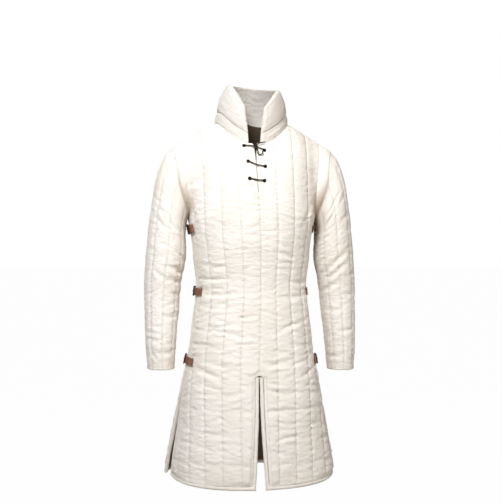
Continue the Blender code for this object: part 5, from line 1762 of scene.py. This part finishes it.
def buckle_piece(name, side, level, centre, strap_lift, steel):
    """A square wire frame with a middle bar and a prong, bent to the side of the body."""
    lift = strap_lift + STRAP_THICK + SEAM_GAP + BUCKLE_WIRE
    half = BUCKLE_LENGTH / 2 - BUCKLE_WIRE
    tall = BUCKLE_HALF - BUCKLE_WIRE
    corner = BUCKLE_CORNER
    frame_path = []
    for x_sign, z_sign, start in ((1, 1, 0), (-1, 1, 90), (-1, -1, 180), (1, -1, 270)):
        for step in range(6):
            angle = math.radians(start + step * 18)
            distance = x_sign * (half - corner) + corner * math.cos(angle)
            height = z_sign * (tall - corner) + corner * math.sin(angle)
            frame_path.append(side_point(side, centre + distance, level + height, lift))
    dense = []
    for here, there in zip(frame_path, frame_path[1:] + frame_path[:1]):
        parts = max(1, round(float(np.linalg.norm(there - here)) / 0.003))
        dense += [here + (there - here) * part / parts for part in range(parts)]
    pile = Pile()
    up = (side, 0, 0)
    pile.tube(dense, BUCKLE_WIRE, 12, closed=True, up=up)
    heights = np.linspace(-tall, tall, 9)
    bar = [side_point(side, centre, level + height, lift) for height in heights]
    pile.tube(bar, BUCKLE_WIRE * 0.85, 10, up=up)
    prong = [
        side_point(side, centre + reach, level, lift + rise)
        for reach, rise in PRONG
    ]
    sizes = np.array((1.1, 1.0, 0.95, 0.9, 0.6)) * PRONG_RADIUS
    pile.tube(prong, sizes, 8, up=up)
    ring = []
    for step in range(12):
        angle = 2 * math.pi * step / 12
        across = PRONG_RING * math.cos(angle)
        ring.append(side_point(side, centre + across, level, lift + PRONG_RING * math.sin(angle)))
    pile.tube(ring, 0.0009, 8, closed=True, up=(0, 0, 1))
    finish_piece(pile.build("wire_" + name), steel, [name])


def build_straps(leather, steel, thread):
    for side_name, side in (("left", -1), ("right", 1)):
        for number, (level, set_back, lift) in enumerate(STRAPS, start=1):
            gap = 2 * table_value(SIDE_GAP, level)
            if side > 0 and number == len(STRAPS):
                set_back = RIGHT_LOW_SET_BACK
            centre = gap + set_back
            ending = f"{side_name}_{number}"
            strap_span = (-STRAP_LENGTH, centre - SEAM_GAP / 2)
            tab_span = (centre + SEAM_GAP / 2, max(centre, gap) + TAB_LENGTH)
            strap_piece("strap_" + ending, side, level, strap_span, lift, leather, thread)
            strap_piece("tab_" + ending, side, level, tab_span, lift, leather, thread)
            buckle_piece("buckle_" + ending, side, level, centre, lift, steel)


def build_topstitching(front, back, sleeves, collars, skin, thread):
    """Rows of stitching beside the edges and slits."""
    pile = Pile()
    underarm = front["underarm"]
    levels = [level for level, _ in front["rows"]]
    open_rows = [row for row in range(3, underarm) if levels[row] < SKIRT_SLIT_TOP - 0.004]
    for half in ("slit_left", "slit_right"):
        add_stitches(pile, *grid_line(front, open_rows, half, 0.0075))
    shares = [share or 0 for _, share in front["rows"]]
    lace_rows = [row for row in range(underarm, len(levels) - 1) if shares[row] > 0.26]
    for half, distance in (("slit_left", 0.0135), ("slit_right", 0.0100)):
        add_stitches(pile, *grid_line(front, lace_rows, half, distance))
    sides = range(3, underarm - 2)
    for grid in (front, back):
        for half in ("left", "right"):
            add_stitches(pile, *grid_line(grid, sides, half, 0.0065))
        count = grid["count"]
        for first, last in ((3, count - 3), (count + 3, 2 * count - 3)):
            add_stitches(pile, grid["outer"][3, first:last], grid["normals"][3, first:last])
    for points in (
        [(-0.0135, -0.178), (0.0, -0.1805), (0.0105, -0.178)],
        [(-0.0135, -0.184), (0.0, -0.1865), (0.0105, -0.184)],
        [
            (-0.0145, -0.662), (-0.0140, -0.640), (-0.009, -0.6235), (0.002, -0.618),
            (0.013, -0.6235), (0.018, -0.640), (0.0185, -0.662),
        ],
    ):
        route = smooth_route([(x, 0, z) for x, z in points], 0.002)
        hits = [skin.at(point.x, point.z, 0.0) for point in route]
        add_stitches(pile, [tuple(hit) for hit, _ in hits], [tuple(normal) for _, normal in hits])
    for grid in sleeves:
        end = grid["end"]
        run = grid["cloth"][:, 0, 1]
        for distance in (0.0065, 0.0125):
            row = int(np.argmin(np.abs(run - (end - distance))))
            path = np.concatenate([grid["outer"][row], grid["outer"][row][:1]])
            ups = np.concatenate([grid["normals"][row], grid["normals"][row][:1]])
            add_stitches(pile, path, ups)
    for outer, inner, cloth in collars:
        ups = unit(outer - inner)
        walked = cloth[0, :, 0]
        for target in (0.0135, walked[-1] - 0.0135):
            place = int(np.argmin(np.abs(walked - target)))
            add_stitches(pile, outer[1:-3, place], ups[1:-3, place])
        add_stitches(pile, outer[2, 3:-3], ups[2, 3:-3])
    finish_piece(pile.build("topstitching"), thread)


def make_stage():
    world = bpy.data.worlds.new("studio")
    bpy.context.scene.world = world
    world.use_nodes = True
    g = Graph(world.node_tree)
    output = world.node_tree.nodes["World Output"]
    soft = world.node_tree.nodes["Background"]
    soft.inputs["Color"].default_value = AMBIENT_COLOR
    soft.inputs["Strength"].default_value = AMBIENT
    white = g.node("ShaderNodeBackground")
    white.inputs["Color"].default_value = (1.0, 1.0, 1.0, 1)
    white.inputs["Strength"].default_value = 1.0
    pick = g.node("ShaderNodeMixShader")
    g.link(g.node("ShaderNodeLightPath").outputs["Is Camera Ray"], pick.inputs[0])
    g.link(soft.outputs[0], pick.inputs[1])
    g.link(white.outputs[0], pick.inputs[2])
    g.link(pick.outputs[0], output.inputs["Surface"])
    bpy.ops.mesh.primitive_circle_add(vertices=96, radius=60, fill_type="NGON", location=(0, 0, FLOOR_Z))
    floor = bpy.context.object
    floor.name = "floor"
    material, tree, shader = new_material("floor")
    shader.inputs["Base Color"].default_value = (0.62, 0.61, 0.60, 1)
    shader.inputs["Roughness"].default_value = 0.9
    g = Graph(tree)
    bright = g.node("ShaderNodeEmission")
    bright.inputs["Strength"].default_value = 1.0
    pick = g.node("ShaderNodeMixShader")
    g.link(g.times(g.node("ShaderNodeLightPath").outputs["Is Camera Ray"], 0.985), pick.inputs[0])
    g.link(shader.outputs[0], pick.inputs[1])
    g.link(bright.outputs[0], pick.inputs[2])
    g.link(pick.outputs[0], tree.nodes["Material Output"].inputs["Surface"])
    floor.data.materials.append(material)
    for name, place, size, power, color in LIGHTS:
        light = bpy.data.lights.new(name, "AREA")
        light.shape = "DISK"
        light.size = size
        light.energy = power
        light.color = color
        item = bpy.data.objects.new(name, light)
        bpy.context.scene.collection.objects.link(item)
        item.location = place
        item.rotation_euler = (Vector((0, 0, -0.25)) - Vector(place)).to_track_quat("-Z", "Y").to_euler()
    view = bpy.context.scene.view_settings
    view.view_transform = "Standard"
    view.look = "None"
    view.exposure = 0.0


def main():
    canvas = canvas_material("canvas", CANVAS, True)
    # The collar's canvas is darker as painted shade
    shaded_collar_canvas = canvas_material("canvas_collar_painted_shade", SHADED_COLLAR_CANVAS, True)
    plain = canvas_material("canvas_roll", ROLL_CANVAS, False)
    front = panel_surface(FRONT)
    back = panel_surface(BACK)
    # Brown lining, darkened as painted shade for the coat's inside
    lining_with_painted_shade = canvas_material("lining_with_painted_shade", LINING_WITH_PAINTED_SHADE, True)
    panels = []
    for name, grid in (("front", front), ("back", back)):
        item, inside = panel_object("cloth_" + name, grid)
        finish_piece(item, canvas, [name])
        line_inside(item, inside, lining_with_painted_shade)
        panels.append(item)
    front_item, back_item = panels
    sleeves = []
    for name, side in (("sleeve_left", -1), ("sleeve_right", 1)):
        grid = sleeve_surface(side, front, back)
        sleeves.append(grid)
        item = wall_object("cloth_" + name, grid["outer"], grid["inner"], grid["cloth"], True)
        set_painted_shade(item, np.repeat(grid["soil_and_painted_shade"].ravel(), 2))
        finish_piece(item, canvas, [name])
    collars = []
    base_out, base_in = collar_base(front, back)
    for name, low, high, rows, bulge, seed, height, area in (
        ("collar_band", 0.0, BAND_TOP, 12, 0.0012, 31, 0.036, 0.018),
        ("collar_upper", UPPER_BOTTOM, 1.0, 30, 0.0042, 33, 0.10, 0.038),
    ):
        outer, inner, cloth = collar_surface(base_out, base_in, low, high, rows, bulge, seed)
        collars.append((outer, inner, cloth))
        item = wall_object("cloth_" + name, outer, inner, cloth, False)
        finish_piece(item, shaded_collar_canvas, [name])
    panel_rolls(front, back, plain)
    thread = thread_material()
    skin = Skin(front_item)
    steel = metal_material("blackened_steel", STEEL, WORN_STEEL, 0.6, 0.40, 0.60, 0.4)
    enamel = metal_material("black_enamel", ENAMEL, WORN_ENAMEL, 0.0, 0.50, 0.65, 0.25)
    build_lacing(skin, cord_material(), enamel)
    build_straps(leather_material(), steel, thread)
    build_topstitching(front, back, sleeves, collars, skin, thread)
    make_stage()


main()
